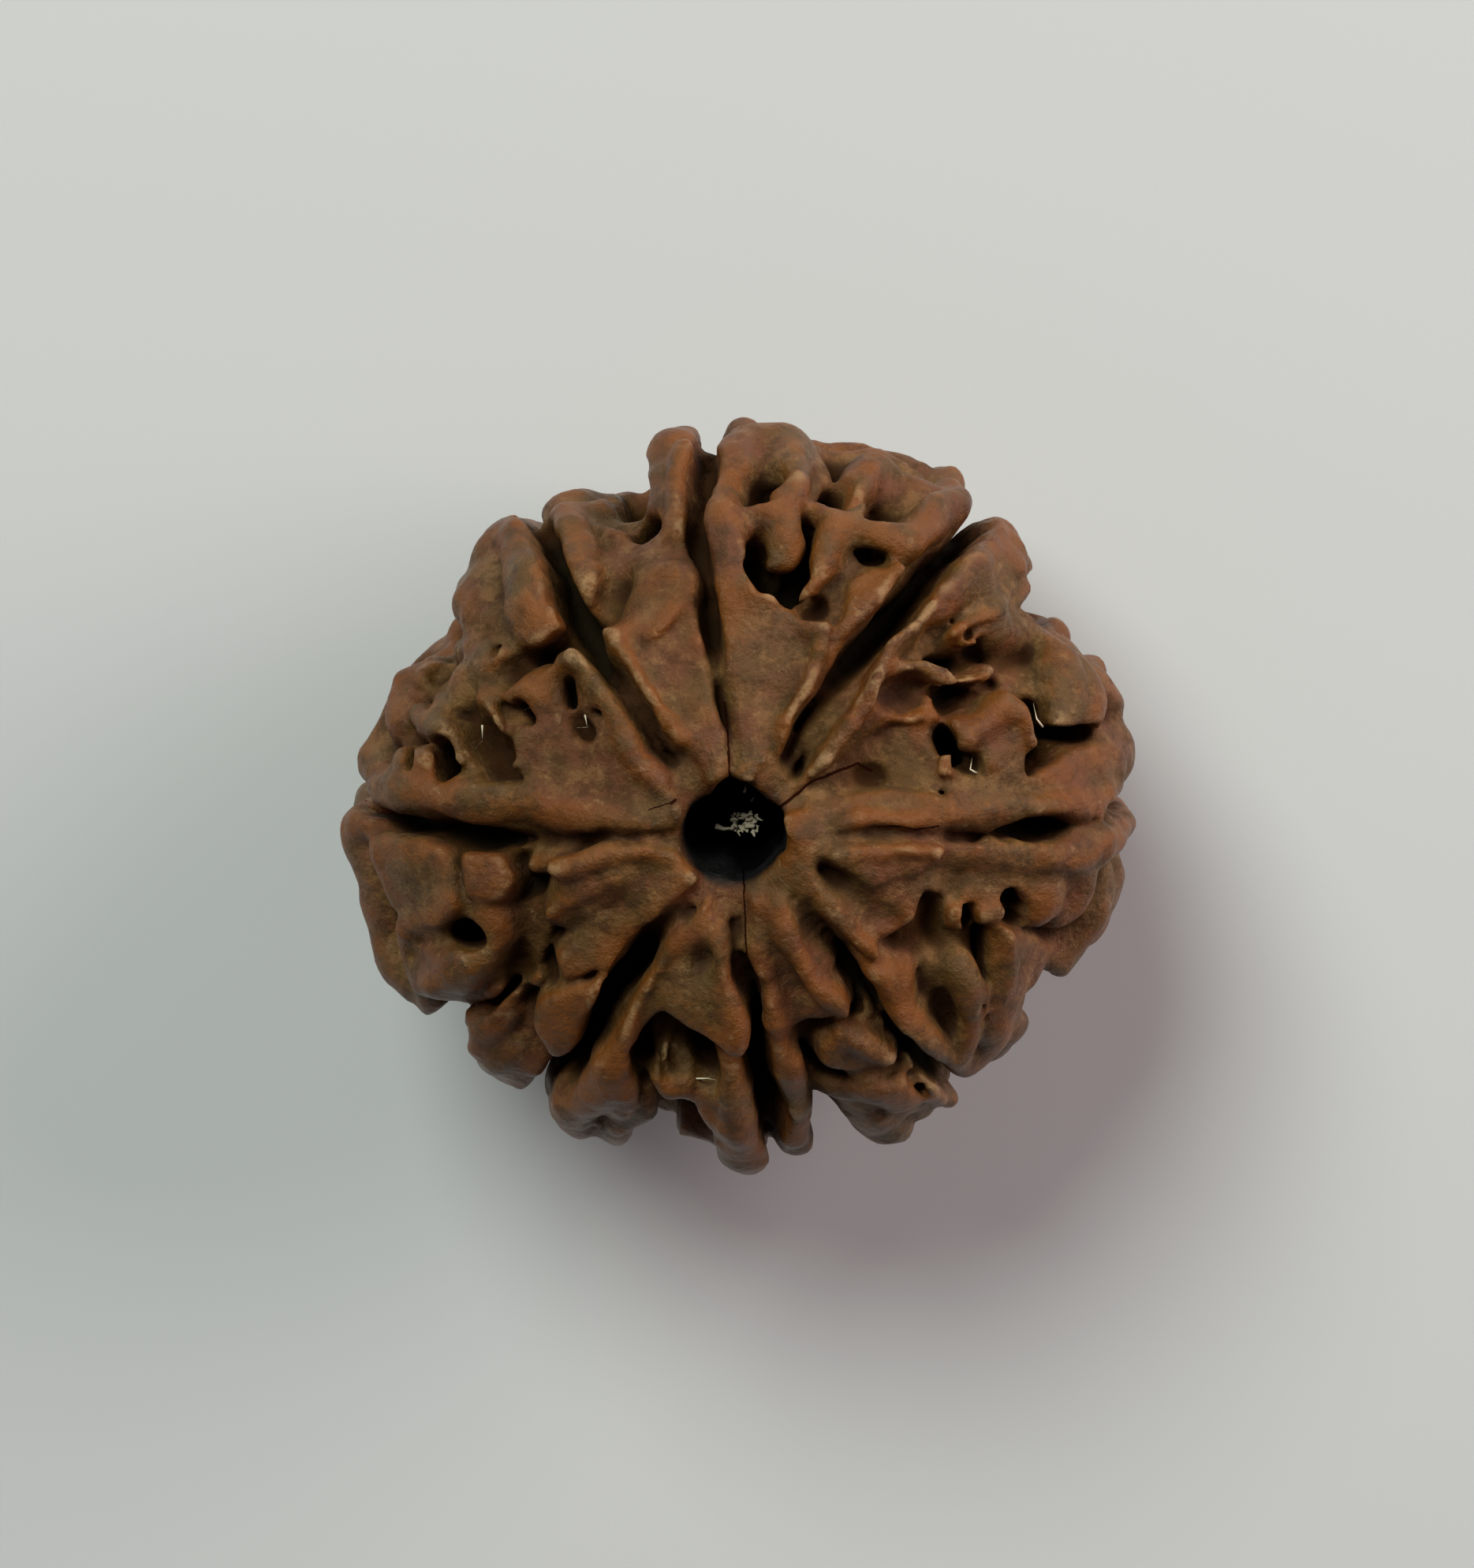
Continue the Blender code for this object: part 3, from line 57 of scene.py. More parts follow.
# How softly each kind of form joins what is there already
RIDGE_BLEND = 0.45
PLATE_BLEND = 0.4
PIT_BLEND = 0.25
WELL_BLEND = 0.3
SCOOP_BLEND = 0.5
SEAM_BLEND = 0.3
VALLEY_BLEND = 0.4

# The ground round the two mouths of the hole, each a fall and a rise
UPPER_COLLAR = (11, -0.45)
LOWER_COLLAR = (165, 0.2)

# The thread hole: the upper mouth's radius by bearing, and how wide the hole is at some heights against it
MOUTH = [
    (0, 1.72), (30, 1.77), (50, 1.66), (73, 1.72), (107, 1.72), (126, 1.5), (147, 1.82), (162, 1.85),
    (191, 1.72), (225, 1.52), (249, 1.3), (265, 1.4), (279, 1.58), (293, 1.58), (315, 1.5), (334, 1.51),
    (342, 1.68), (360, 1.72),
]
HOLE_WIDTHS = [(0, 0.72), (2.5, 0.6), (6, 0.56), (13, 0.78), (16.5, 1.0), (20, 1.0)]

# The grid that the field is worked out on, and the skin taken from it
CELL = 0.16
FACES_KEPT = 196000
SEED = 9

# How round the edges are against the plain part's
EDGE_SOFTNESS = 0.65

# Unevenness of the surface: size and height of its lumps in millimetres, and the seed
SURFACE_LUMPS = [(2.6, 0.2, 1), (1.2, 0.13, 2), (0.55, 0.05, 3)]

# How the forms wander: size and reach of the bends in millimetres, and the seed
WANDERING = [(3.4, 0.3, 4), (1.5, 0.14, 5)]

# How enclosed a point lies, by the reach in millimetres that is looked at
ENCLOSURES = [("enclosure_wide", 1.3), ("enclosure_close", 0.65), ("enclosure_edge", 0.3)]

# Colours of the stone, its wear and its dirt, some of which also paint shade into hollows and highlights onto
# edges and flecks
OLIVE_BROWN = (0.116, 0.055, 0.013, 1)
ROSE_BROWN = (0.14, 0.046, 0.015, 1)
DULL_BROWN = (0.055, 0.024, 0.006, 1)
PALE_BROWN = (0.24, 0.115, 0.036, 1)
RUST = (0.2, 0.056, 0.005, 1)
# Pale wear, also used as painted highlight on edges and flecks
PALE_WEAR_AND_HIGHLIGHT = (0.42, 0.25, 0.11, 1)
# Dirt that is also painted shade: in creases, in clefts and in the thread hole
CREASE_DIRT_AND_SHADE = (0.03, 0.011, 0.005, 1)
CLEFT_DIRT_AND_SHADE = (0.01, 0.007, 0.003, 1)
HOLE_SHADE_AND_DIRT = (0.0015, 0.0015, 0.0015, 1)
CRACK_BROWN = (0.024, 0.006, 0.003, 1)
PITH_COLOUR = (0.75, 0.64, 0.46, 1)

# Thin cracks round the mouth, each a half width and places seen from above, in millimetres
CRACKS = [
    (0.035, [(-0.2, 1.5), (-0.27, 2.3), (-0.3, 3.3), (-0.42, 4.4)]),
    (0.05, [(1.45, 0.9), (1.95, 1.28), (2.5, 1.7), (3.1, 1.93), (4.15, 2.25), (4.6, 1.95)]),
    (0.03, [(0.22, -1.5), (0.25, -2.3), (0.3, -3.2), (0.33, -4.4)]),
    (0.03, [(4.8, 0.22), (5.6, 0.26), (6.1, 0.1), (6.9, 0.18)]),
    (0.05, [(-2.25, 1.15), (-2.1, 1.25)]),
    (0.02, [(-2.2, 1.2), (-2.6, 1.05), (-3.0, 0.9)]),
]

# How far a crack strays from its straight stretches, in millimetres
CRACK_WANDER = 0.12

# Pits with a dry hair across them, as bearing and fall
HAIRY_PITS = [(145, 25.6), (149.5, 35), (162, 41), (14.5, 35.5), (19, 52), (263.8, 41.5)]

# Such a hair's course: bearing and fall from the pit's middle, and rise; and its half width
HAIR = [(-2.4, 0.8, -0.8), (-0.2, -0.9, -0.45), (2.3, 0.6, -0.8)]
HAIR_RADIUS = 0.045

# The tuft of pith in the hole, and the bits beside it as places and a half width, in millimetres
TUFT_STRANDS = 38
TUFT_PLACE = (0.3, -0.06, 16.6)
PITH_BITS = [
    ([(-0.72, -0.2, 16.5), (-0.45, -0.28, 16.6), (-0.1, -0.24, 16.6)], 0.12),
    ([(0.25, 1.0, 16.5), (0.3, 1.12, 16.6), (0.27, 1.22, 16.6)], 0.06),
    ([(0.5, 0.7, 16.5), (0.55, 0.78, 16.6), (0.6, 0.83, 16.6)], 0.05),
]
STRAND_SIDES = 5

# The ground, the light from the upper left, and the camera that looks down on the mouth
FLOOR_HALF = 3.0
FLOOR_COLOUR = (0.7, 0.7, 0.7, 1)
SKY_COLOUR = (1.0, 0.87, 0.93, 1)
SKY_STRENGTH = 0.08
KEY_PLACE = (-0.22, 0.428, 0.512)
KEY_SIZE = 0.36
KEY_WATTS = 3.9
KEY_COLOUR = (0.9, 1.0, 0.93)
FILL_PLACE = (0.366, 0.2, 0.165)
FILL_SIZE = 0.35
FILL_WATTS = 1.7
FILL_COLOUR = (1.0, 0.88, 0.86)
CAMERA_TILT = 10
CAMERA_DISTANCE = 0.21
CAMERA_LENS = 135
CAMERA_SHIFT = 0.0015

# How far the equator lies inside the envelope, by bearing
WAIST = [
    (0, -0.4), (6, 0.2), (18, 0), (24, 0.3), (30, 2), (40, 0.4), (47, 0.4), (55, -0.2), (65, 0.7),
    (75, 1.1), (84, 0.4), (90, 0.8), (97, 0.3), (106, 2.6), (118, 2.1), (130, 1.2), (144, 1.6), (150, 2.4),
    (165, 0.9), (178, 0.5), (190, 0), (208, 0), (216, 0.1), (224, 0), (240, 0.5), (250, 0), (259, 0.4),
    (264, 0.7), (272, 0), (284, 1.2), (294, 0.3), (320, 0.2), (330, 0.4), (341, 0), (352, -0.2),
    (360, -0.4),
]

# The nine seams, one list of points each: bearing, fall, half width and depth
SEAMS = [
    [(97, 18, 0.06, 0.5), (97, 24, 0.12, 0.9), (97, 29, 0.2, 1.3), (97, 34, 0.2, 1.3),
     (96.5, 40, 0.14, 0.7), (97, 45, 0.22, 1.8), (96.5, 52, 0.24, 2), (95, 60, 0.24, 1.4),
     (94.5, 74, 0.2, 0.5)],
    [(57, 17, 0.08, 0.6), (56.3, 23, 0.14, 1.2), (55.3, 31, 0.24, 2.2), (54, 39, 0.34, 3),
     (53, 47, 0.38, 3.4), (52.2, 55, 0.36, 3.6), (51.5, 64, 0.3, 3.8), (49.5, 76, 0.28, 3.6)],
    [(32, 6, 0.05, 0.4), (32.5, 12, 0.06, 0.5), (29, 16, 0.06, 0.5), (24.5, 19, 0.1, 0.8)],
    [(357, 30, 0.06, 0.7), (358, 40, 0.12, 1.5), (359.3, 52, 0.15, 2), (360, 66, 0.16, 1.8)],
    [(310.3, 19, 0.08, 0.8), (308.7, 27, 0.2, 1.8), (306, 34, 0.34, 2.2), (305.5, 42, 0.36, 2.4),
     (305.5, 49, 0.36, 2.4), (306.5, 58, 0.38, 2.2)],
    [(276.8, 16, 0.08, 0.8), (276.5, 21, 0.14, 1.3), (276, 27, 0.22, 2.2), (275.6, 34, 0.3, 2.8),
     (275.6, 42, 0.32, 2.8), (276.5, 50, 0.32, 2.6), (276.5, 60, 0.25, 1.2), (276.5, 74, 0.2, 0.4)],
    [(234, 17, 0.08, 0.5), (233.5, 20, 0.18, 1.2), (234, 24, 0.34, 2.6), (234.5, 29, 0.42, 3.2),
     (235.5, 34, 0.46, 3.2), (237.5, 42, 0.42, 3.2), (238, 50, 0.36, 3.4), (237, 60, 0.36, 3.6),
     (236.5, 74, 0.32, 3.4)],
    [(182, 26, 0.06, 0.8), (182.5, 31, 0.1, 1.4), (182.5, 37, 0.16, 2.2), (182.6, 43, 0.18, 2.4),
     (182.8, 50, 0.2, 2.4), (182.6, 62, 0.2, 2.2)],
    [(127, 27, 0.1, 0.7), (127.5, 34, 0.28, 1.7), (126.6, 42, 0.28, 2.4), (126, 52, 0.24, 2.2),
     (126, 64, 0.22, 1.2), (126.5, 76, 0.2, 0.4)],
]

# The soft valleys in which the seams start at the mouth, measured in the same way
VALLEYS = [
    [(97.5, 11, 0.15, 0.12), (97, 19, 0.32, 0.55), (97, 27, 0.4, 0.9), (97, 34, 0.4, 1)],
    [(56.5, 11.5, 0.3, 0.2), (56.5, 15, 0.5, 0.45), (56.3, 21, 0.65, 0.8), (55.8, 27, 0.7, 1.2),
     (55, 33, 0.6, 1.6)],
    [(359, 14, 0.25, 0.12), (358, 24, 0.3, 0.3), (357, 32, 0.35, 0.7)],
    [(311, 8, 0.15, 0.1), (311, 13, 0.3, 0.3), (310.5, 17, 0.42, 0.7), (309, 22, 0.55, 1.3),
     (307, 29, 0.65, 1.7), (306, 36, 0.55, 1.8)],
    [(277, 10, 0.12, 0.1), (276.7, 18, 0.3, 0.5), (276, 26, 0.42, 1.2)],
    [(237, 9, 0.2, 0.1), (235, 13, 0.35, 0.25), (233.5, 19, 0.5, 0.9), (234, 26, 0.55, 1.8)],
    [(181, 12, 0.25, 0.12), (182, 22, 0.4, 0.4), (182, 30, 0.4, 0.8)],
    [(128, 9, 0.15, 0.1), (128, 15, 0.24, 0.25), (127.5, 22, 0.28, 0.4), (127.5, 31, 0.32, 0.8)],
]

# Where the nine seams run down the sides and under the bead, and how deep they are at the equator
LOWER_SEAMS = [(94.5, 0.6), (49, 2.0), (22, 0.7), (360, 1.0), (307, 1.4), (276.5, 0.4), (236.5, 1.8),
               (179, 1.6), (126, 0.4)]

# Every seam's course under the bead: fall, half width and depth
UNDER_SEAM = [(100, 0.3, 1.8), (120, 0.3, 2.2), (140, 0.3, 2), (158, 0.24, 1.6), (168, 0.16, 1)]

# Deep bays in the outline between lobes: the falls they cover, and each one's bearing, half width and depth
BAY_FALLS = (68, 76, 84, 92, 99)
BAYS = [(33, 0.7, 0.9), (108.5, 0.9, 0.8), (149.5, 0.75, 1.2), (219, 0.8, 0.9), (258, 0.9, -0.3),
        (285, 0.9, 1.2), (327, 0.8, 1.1)]

# Each face is worked in order. A plate is a flat with a free edge: a rise, a rounding, then its corners.
# A ridge is a wall with a round crest: a half width, then its points as bearing, fall and rise.
# A finger is a ridge that hangs free. A pit is a round hole: half width, depth, then one or two places.
# A well is a pit that goes straight down.
FACE_1 = [
    ("plate", -0.4, 0.4, [(36, 6), (34, 33), (11, 34), (13, 14), (22, 6)]),
    ("plate", -0.1, 0.3, [(26, 6), (28, 17), (18.5, 21), (17, 29), (11, 28.5), (4, 25.5), (4, 6)]),
    ("plate", -0.05, 0.3, [(27, 34), (24, 46), (14, 46), (11, 36), (16, 29)]),
    ("plate", -0.05, 0.3, [(11, 30), (12, 50), (3, 52), (2.5, 29)]),
    ("plate", -0.2, 0.4, [(13, 38), (22, 40), (21, 50), (14, 53), (10, 54), (9, 45)]),
    ("ridge", 0.3, [(9.5, 13, 0), (6.5, 19, 0.05), (4.5, 24, 0.1)]),
    ("ridge", 0.6, [(4, 27, -0.1), (3.2, 34, 0), (3.4, 42, 0.1), (2.8, 50, 0.2), (2.4, 60, 0.2),
                    (2.5, 72, 0.1)]),
    ("plate", -0.4, 0.5, [(13, 46), (24, 46), (29, 51), (26, 61), (16, 60), (12, 52)]),
    ("plate", -0.8, 0.5, [(35, 50), (28, 46), (24, 50), (20, 60), (26, 63), (32, 57)]),
    ("ridge", 0.8, [(36, 52, -0.2), (33, 54, 0), (30, 58, 0.15), (26, 61.5, 0.2), (22.5, 62, 0.2),
                    (18.5, 60, 0.15), (15.5, 55, 0)]),
    ("ridge", 0.5, [(22.5, 33, 0), (21.5, 39, 0.1), (23, 44, 0.2), (21, 48, 0.15), (15.5, 48.5, 0.2)]),
    ("ridge", 0.7, [(29, 64, -0.5), (23.5, 69, -0.1), (20, 70, 0), (16.5, 68, 0.1), (14.5, 64, 0.1)]),
    ("ridge", 1.1, [(26, 76, -0.4), (19, 80, 0), (14.5, 82, 0)]),
    ("ridge", 1.15, [(7, 48, -0.1), (6.6, 62, 0.2), (6.2, 75, 0.3), (5.6, 88, 0.2)]),
    ("pit", 0.32, 2.6, [(11.5, 50.5), (13.2, 58), (12, 67)]),
    ("pit", 0.44, 4, [(30.2, 31.2), (27.4, 31.6)]),
    ("pit", 0.28, 3, [(16, 34.3), (13.4, 37)]),
    ("pit", 0.45, 3, [(22.3, 53.3), (19.5, 52.5)]),
    ("pit", 0.25, 2, [(19.5, 52), (16.5, 51)]),
    ("pit", 0.22, 1, [(24, 19), (21.5, 20.5)]),
]
FACE_2 = [
    ("plate", -0.25, 0.35, [(52, 6), (47, 22), (48, 30), (40, 33.5), (34, 33), (33, 12), (37, 6)]),
    ("plate", -0.8, 0.6, [(58, 6), (57, 26), (54, 31), (46, 31), (44, 20), (48, 6)]),
    ("plate", -1.2, 0.5, [(50, 28), (51, 46), (42, 50), (34, 42), (36, 34), (43, 32)]),
    ("ridge", 0.26, [(40, 13, -0.15), (43, 19, 0.05), (46, 25, 0.2), (48, 29.8, 0.45)]),
    ("ridge", 0.24, [(48, 29.5, 0.15), (44, 30.2, 0.1), (41.5, 28.5, 0.1)]),
    ("ridge", 0.24, [(41.5, 27.5, 0.1), (38, 27.3, 0.05), (34.5, 28.3, 0.05), (33, 30.5, 0.1)]),
    ("ridge", 0.5, [(50.3, 30, 0), (50.3, 35, 0.1), (50.3, 40, 0.15), (49.6, 46, 0.2)]),
    ("ridge", 0.9, [(48.8, 47, 0), (48, 52, 0.2), (48, 58, 0.3), (47.3, 65, 0.3), (46.3, 76, 0.3)]),
    ("ridge", 0.9, [(44, 52, -0.4), (44.5, 60, -0.1), (43.3, 68, 0.2), (42.5, 78, 0.1)]),
    ("ridge", 0.35, [(41.5, 45, -0.3), (41.2, 51, -0.2), (40.6, 57, -0.1), (39.6, 63, -0.2)]),
    ("ridge", 0.35, [(38.5, 50, -0.5), (37.5, 56, -0.4), (37.8, 62, -0.3), (38.3, 67, -0.3)]),
    ("ridge", 0.7, [(35, 58, -1), (30, 64, -0.8), (27, 70, -0.5)]),
    ("ridge", 0.36, [(46, 30, -0.1), (43.3, 34, 0.05), (39.5, 36.3, 0.1), (36, 38.5, 0.1), (33.5, 42, 0.1),
                     (30.5, 46, 0.05)]),
    ("ridge", 0.3, [(37, 39, 0), (38.5, 43, -0.1), (37.5, 48, -0.2)]),
    ("scoop", 0.7, 0.75, [(39, 30.5), (36.5, 32)]),
    ("pit", 0.38, 2.4, [(35.5, 43.5), (33, 47)]),
    ("pit", 0.15, 0.9, [(45, 31)]),
]
FACE_3 = [
    ("plate", -0.15, 0.4, [(95, 6), (92.5, 36), (80, 35.5), (68, 31), (66, 14), (78, 6)]),
    ("plate", -0.45, 0.4, [(72, 6), (67, 32), (62, 33), (60, 16), (62, 6)]),
    ("plate", -0.6, 0.4, [(74, 36), (71.5, 47), (62, 46), (60, 38), (65, 32)]),
    ("ridge", 0.26, [(63, 12, -0.25), (66.5, 16.5, 0), (64.5, 20.5, 0.05), (64.5, 25, 0.1),
                     (66.5, 31.5, 0.2)]),
    ("ridge", 0.26, [(66.2, 32.5, 0.1), (69, 31.5, 0), (72, 31, -0.2)]),
    ("ridge", 0.4, [(62, 24, -0.6), (61.5, 31, -0.3), (60.5, 36, 0), (58.5, 41, 0.1), (56.3, 47.5, 0.15)]),
    ("plate", -0.1, 0.3, [(64, 36), (58.5, 38), (56.3, 47.5), (62, 45), (66, 41)]),
    ("ridge", 0.65, [(91, 37, -0.05), (90.8, 42, 0.05), (92, 47, 0.15), (92.5, 51, 0.25),
                     (91.5, 56, 0.2)]),
    ("ridge", 0.95, [(90, 55, 0.1), (90, 62, 0.15), (88.5, 70, 0.15), (85.2, 73, 0.15), (82.5, 70, 0.1),
                     (81.7, 63, 0.05), (82, 56, 0.1), (83.5, 51, 0.1)]),
    ("plate", -0.7, 0.6, [(91, 50), (90, 68), (84, 71), (81.5, 60), (83, 50)]),
    ("ridge", 0.6, [(87.5, 36.5, -0.1), (82, 35.2, -0.15), (76.5, 34.6, -0.2), (73, 38, 0), (71.8, 43, 0.1),
                    (71, 47.5, 0.2), (68.5, 50.5, 0.25), (64, 51.8, 0.25), (60.5, 53, 0.2)]),
    ("ridge", 0.7, [(60, 53, 0.15), (57.7, 56, 0.15), (57.2, 61, 0.1), (56.5, 67, 0.1), (55.3, 76, 0.1)]),
    ("ridge", 0.4, [(68.5, 52, 0.1), (67.4, 55, 0.25), (66.5, 58.5, 0.45)]),
    ("ridge", 0.5, [(77, 50, -0.2), (74, 51.5, 0.1), (71, 50.5, 0.15)]),
    ("ridge", 0.6, [(71.3, 54.5, -0.2), (70.3, 61, 0), (68.6, 69, 0.1), (67, 76, -0.1)]),
    ("ridge", 0.9, [(64.5, 68, -0.5), (60.5, 71, -0.3), (58.5, 76, -0.2)]),
    ("ridge", 0.75, [(80, 70, -0.4), (78, 62, -0.4), (76.8, 55, -0.6)]),
    ("ridge", 0.8, [(77, 70, -0.8), (73, 72, -0.7), (70, 76, -0.6)]),
    ("ridge", 1, [(87.5, 82, -0.2), (84.5, 86, 0), (81, 83, -0.2)]),
    ("pit", 0.36, 2.6, [(86.2, 46), (86.2, 41), (84.5, 37.8), (81, 36.8)]),
    ("pit", 0.42, 2.8, [(81, 37), (77.5, 37.3), (76.6, 41), (77, 46), (77.2, 50.5)]),
    ("scoop", 0.6, 0.9, [(85.3, 60), (85.2, 57)]),
    ("pit", 0.25, 1.8, [(86, 55.5), (83.6, 55.7)]),
    ("pit", 0.32, 2.4, [(73, 56), (73.2, 61)]),
    ("pit", 0.36, 2.6, [(64.6, 57), (66, 62)]),
    ("pit", 0.2, 1.6, [(63.5, 47), (60, 49.5)]),
    ("pit", 0.25, 1.2, [(71, 34), (68.5, 34.5)]),
    ("finger", 0.45, [(82.3, 54, 0), (81.3, 48, -0.1), (79.8, 41, -0.3)]),
]
FACE_4 = [
    ("plate", 0.05, 0.4, [(98.8, 6), (99.3, 39), (103, 41), (113, 38), (119, 29), (122, 6)]),
    ("plate", 0, 0.3, [(108, 6), (107, 30), (116.5, 34), (121.2, 35), (122.3, 29), (122.8, 20), (124, 6)]),
    ("plate", -0.75, 0.3, [(121, 6), (121, 33), (126, 31), (128.5, 22), (129, 6)]),
    ("ridge", 0.2, [(122.5, 14, 0.02), (121.9, 22, 0.08), (121.5, 29, 0.12), (121, 35, 0.15)]),
    ("plate", -0.25, 0.6, [(98.8, 34), (99, 46), (108, 50), (122.5, 48), (122, 38), (114, 28)]),
    ("plate", -0.35, 0.5, [(122.8, 44), (122, 62), (115, 62), (109, 58), (107, 44), (112, 40)]),
    ("ridge", 0.8, [(121.8, 41, -0.3), (121.8, 48, -0.05), (121.3, 54, 0.05), (120.5, 62, 0.15)]),
    ("ridge", 0.6, [(120, 65, 0), (116, 64, -0.1), (112, 66, 0), (109, 60, -0.2), (106, 54, -0.3)]),
    ("ridge", 0.45, [(112.5, 47.5, -0.4), (115.5, 50, -0.35), (117.5, 54, -0.25)]),
    ("ridge", 1.1, [(102, 50, -0.35), (101.2, 58, -0.05), (99.8, 68, 0.15), (98.8, 76, 0.1)]),
    ("ridge", 0.5, [(101.8, 46, -0.3), (100.8, 53, 0), (99.6, 60, 0.18), (98.2, 67, 0.2)]),
    ("pit", 0.38, 1.6, [(109.3, 48.3), (108, 47.5)]),
    ("scoop", 0.5, 0.6, [(110.5, 54), (108, 54.5)]),
    ("scoop", 0.9, 0.4, [(117.5, 39), (114, 41)]),
]
FACE_5 = [
    ("plate", -0.15, 0.4, [(150, 6), (146, 24), (150, 32), (158, 35), (168, 34), (172, 22), (172, 6)]),
    ("plate", -0.1, 0.35, [(152, 6), (146, 24), (140, 27), (134, 33), (131.8, 30), (133.5, 23),
                           (139, 12)]),
    ("plate", -0.35, 0.4, [(133.5, 35), (132, 28), (141, 22), (150, 30), (143, 37), (138, 37.5)]),
    ("ridge", 0.32, [(144, 12, 0), (137.5, 18, 0.05), (134, 24, 0.05), (132.2, 29, 0.1),
                     (133, 34.5, 0.15)]),
    ("plate", -0.9, 0.5, [(141, 35), (143, 46), (150, 50), (158, 52), (166, 46), (166, 36), (152, 32)]),
    ("ridge", 0.65, [(172, 14, -0.1), (173.3, 22, 0), (174, 30, 0.05), (174.6, 36, 0.1)]),
    ("ridge", 0.85, [(174.6, 36, 0.1), (175.8, 43, 0.15), (176.4, 50, 0.2), (176.2, 56, 0.2),
                     (175.5, 62, 0.15)]),
    ("plate", -0.6, 0.5, [(184, 10), (185, 34), (172, 34), (172, 10)]),
    ("ridge", 0.28, [(134.5, 35.5, -0.1), (139, 35.5, -0.1), (143.5, 34, -0.15), (147.5, 32.5, -0.2)]),
    ("ridge", 0.28, [(142, 39.5, 0), (145, 37, 0.05), (148.7, 37.2, 0.05), (151.5, 40.5, 0.05)]),
    ("ridge", 0.8, [(147.5, 43, 0), (151.5, 46, 0.1), (156, 47.5, 0)]),
    ("ridge", 0.36, [(153, 42, 0), (157, 40.5, 0), (160, 37.5, -0.1)]),
    ("ridge", 0.36, [(158, 52.5, 0.05), (163, 47.5, 0.1), (166.8, 43, 0.1), (167.5, 38, 0.05),
                     (165.5, 33.5, -0.05)]),
    ("ridge", 0.55, [(170.5, 47, 0), (171.2, 53, 0), (171, 60, 0.1)]),
    ("ridge", 0.5, [(164, 45.5, 0), (163.5, 53, 0), (162.5, 57, 0)]),
    ("ridge", 0.8, [(149.5, 50, -0.2), (151.5, 56, 0), (155, 60, 0), (159.5, 60, 0)]),
    ("ridge", 0.8, [(157, 54, -0.2), (160, 62, 0), (164.5, 64, 0), (166, 62, 0)]),
    ("ridge", 0.9, [(163, 66, -0.3), (168, 70, -0.1), (173.5, 72, 0.1), (175, 66, 0.1)]),
    ("ridge", 0.85, [(134.5, 40.5, -0.2), (133, 46, 0.15), (131.3, 52, 0.25), (130.3, 58, 0.25),
                     (129.8, 64, 0.1)]),
    ("ridge", 0.5, [(131, 41, -0.1), (129.3, 46, 0.1), (128.3, 52, 0.15), (128.7, 59, 0.15)]),
    ("ridge", 0.95, [(139.5, 47, -0.9), (140.8, 54, -0.4), (141.5, 62, -0.1), (142, 70, -0.1)]),
    ("ridge", 0.95, [(137.5, 56, -0.3), (135.8, 64, 0), (132.8, 72, 0), (129, 78, -0.1)]),
    ("ridge", 0.45, [(143.5, 42, -0.3), (145, 47, -0.2), (147, 51, -0.2)]),
    ("pit", 0.3, 2, [(135.8, 32.6), (139, 30.4)]),
    ("pit", 0.34, 1.8, [(134, 38), (139, 38.6), (142.5, 41.5)]),
    ("pit", 0.25, 1.8, [(148.8, 36.5), (151, 33.5)]),
    ("scoop", 0.42, 0.8, [(143.5, 27.5), (144.5, 26)]),
    ("pit", 0.2, 1.4, [(144.7, 25.6)]),
    ("scoop", 0.55, 0.7, [(145.3, 40.5), (147.8, 40.8)]),
    ("pit", 0.32, 1.6, [(145.8, 45.5)]),
    ("scoop", 0.75, 0.8, [(160, 43.5), (163.3, 39.5)]),
    ("pit", 0.4, 2.4, [(165.5, 48.8), (169.4, 46.8)]),
    ("pit", 0.28, 1.9, [(166.5, 56.8), (169.8, 54.6)]),
    ("scoop", 0.35, 0.5, [(153.8, 53.5), (156.3, 55.5)]),
]
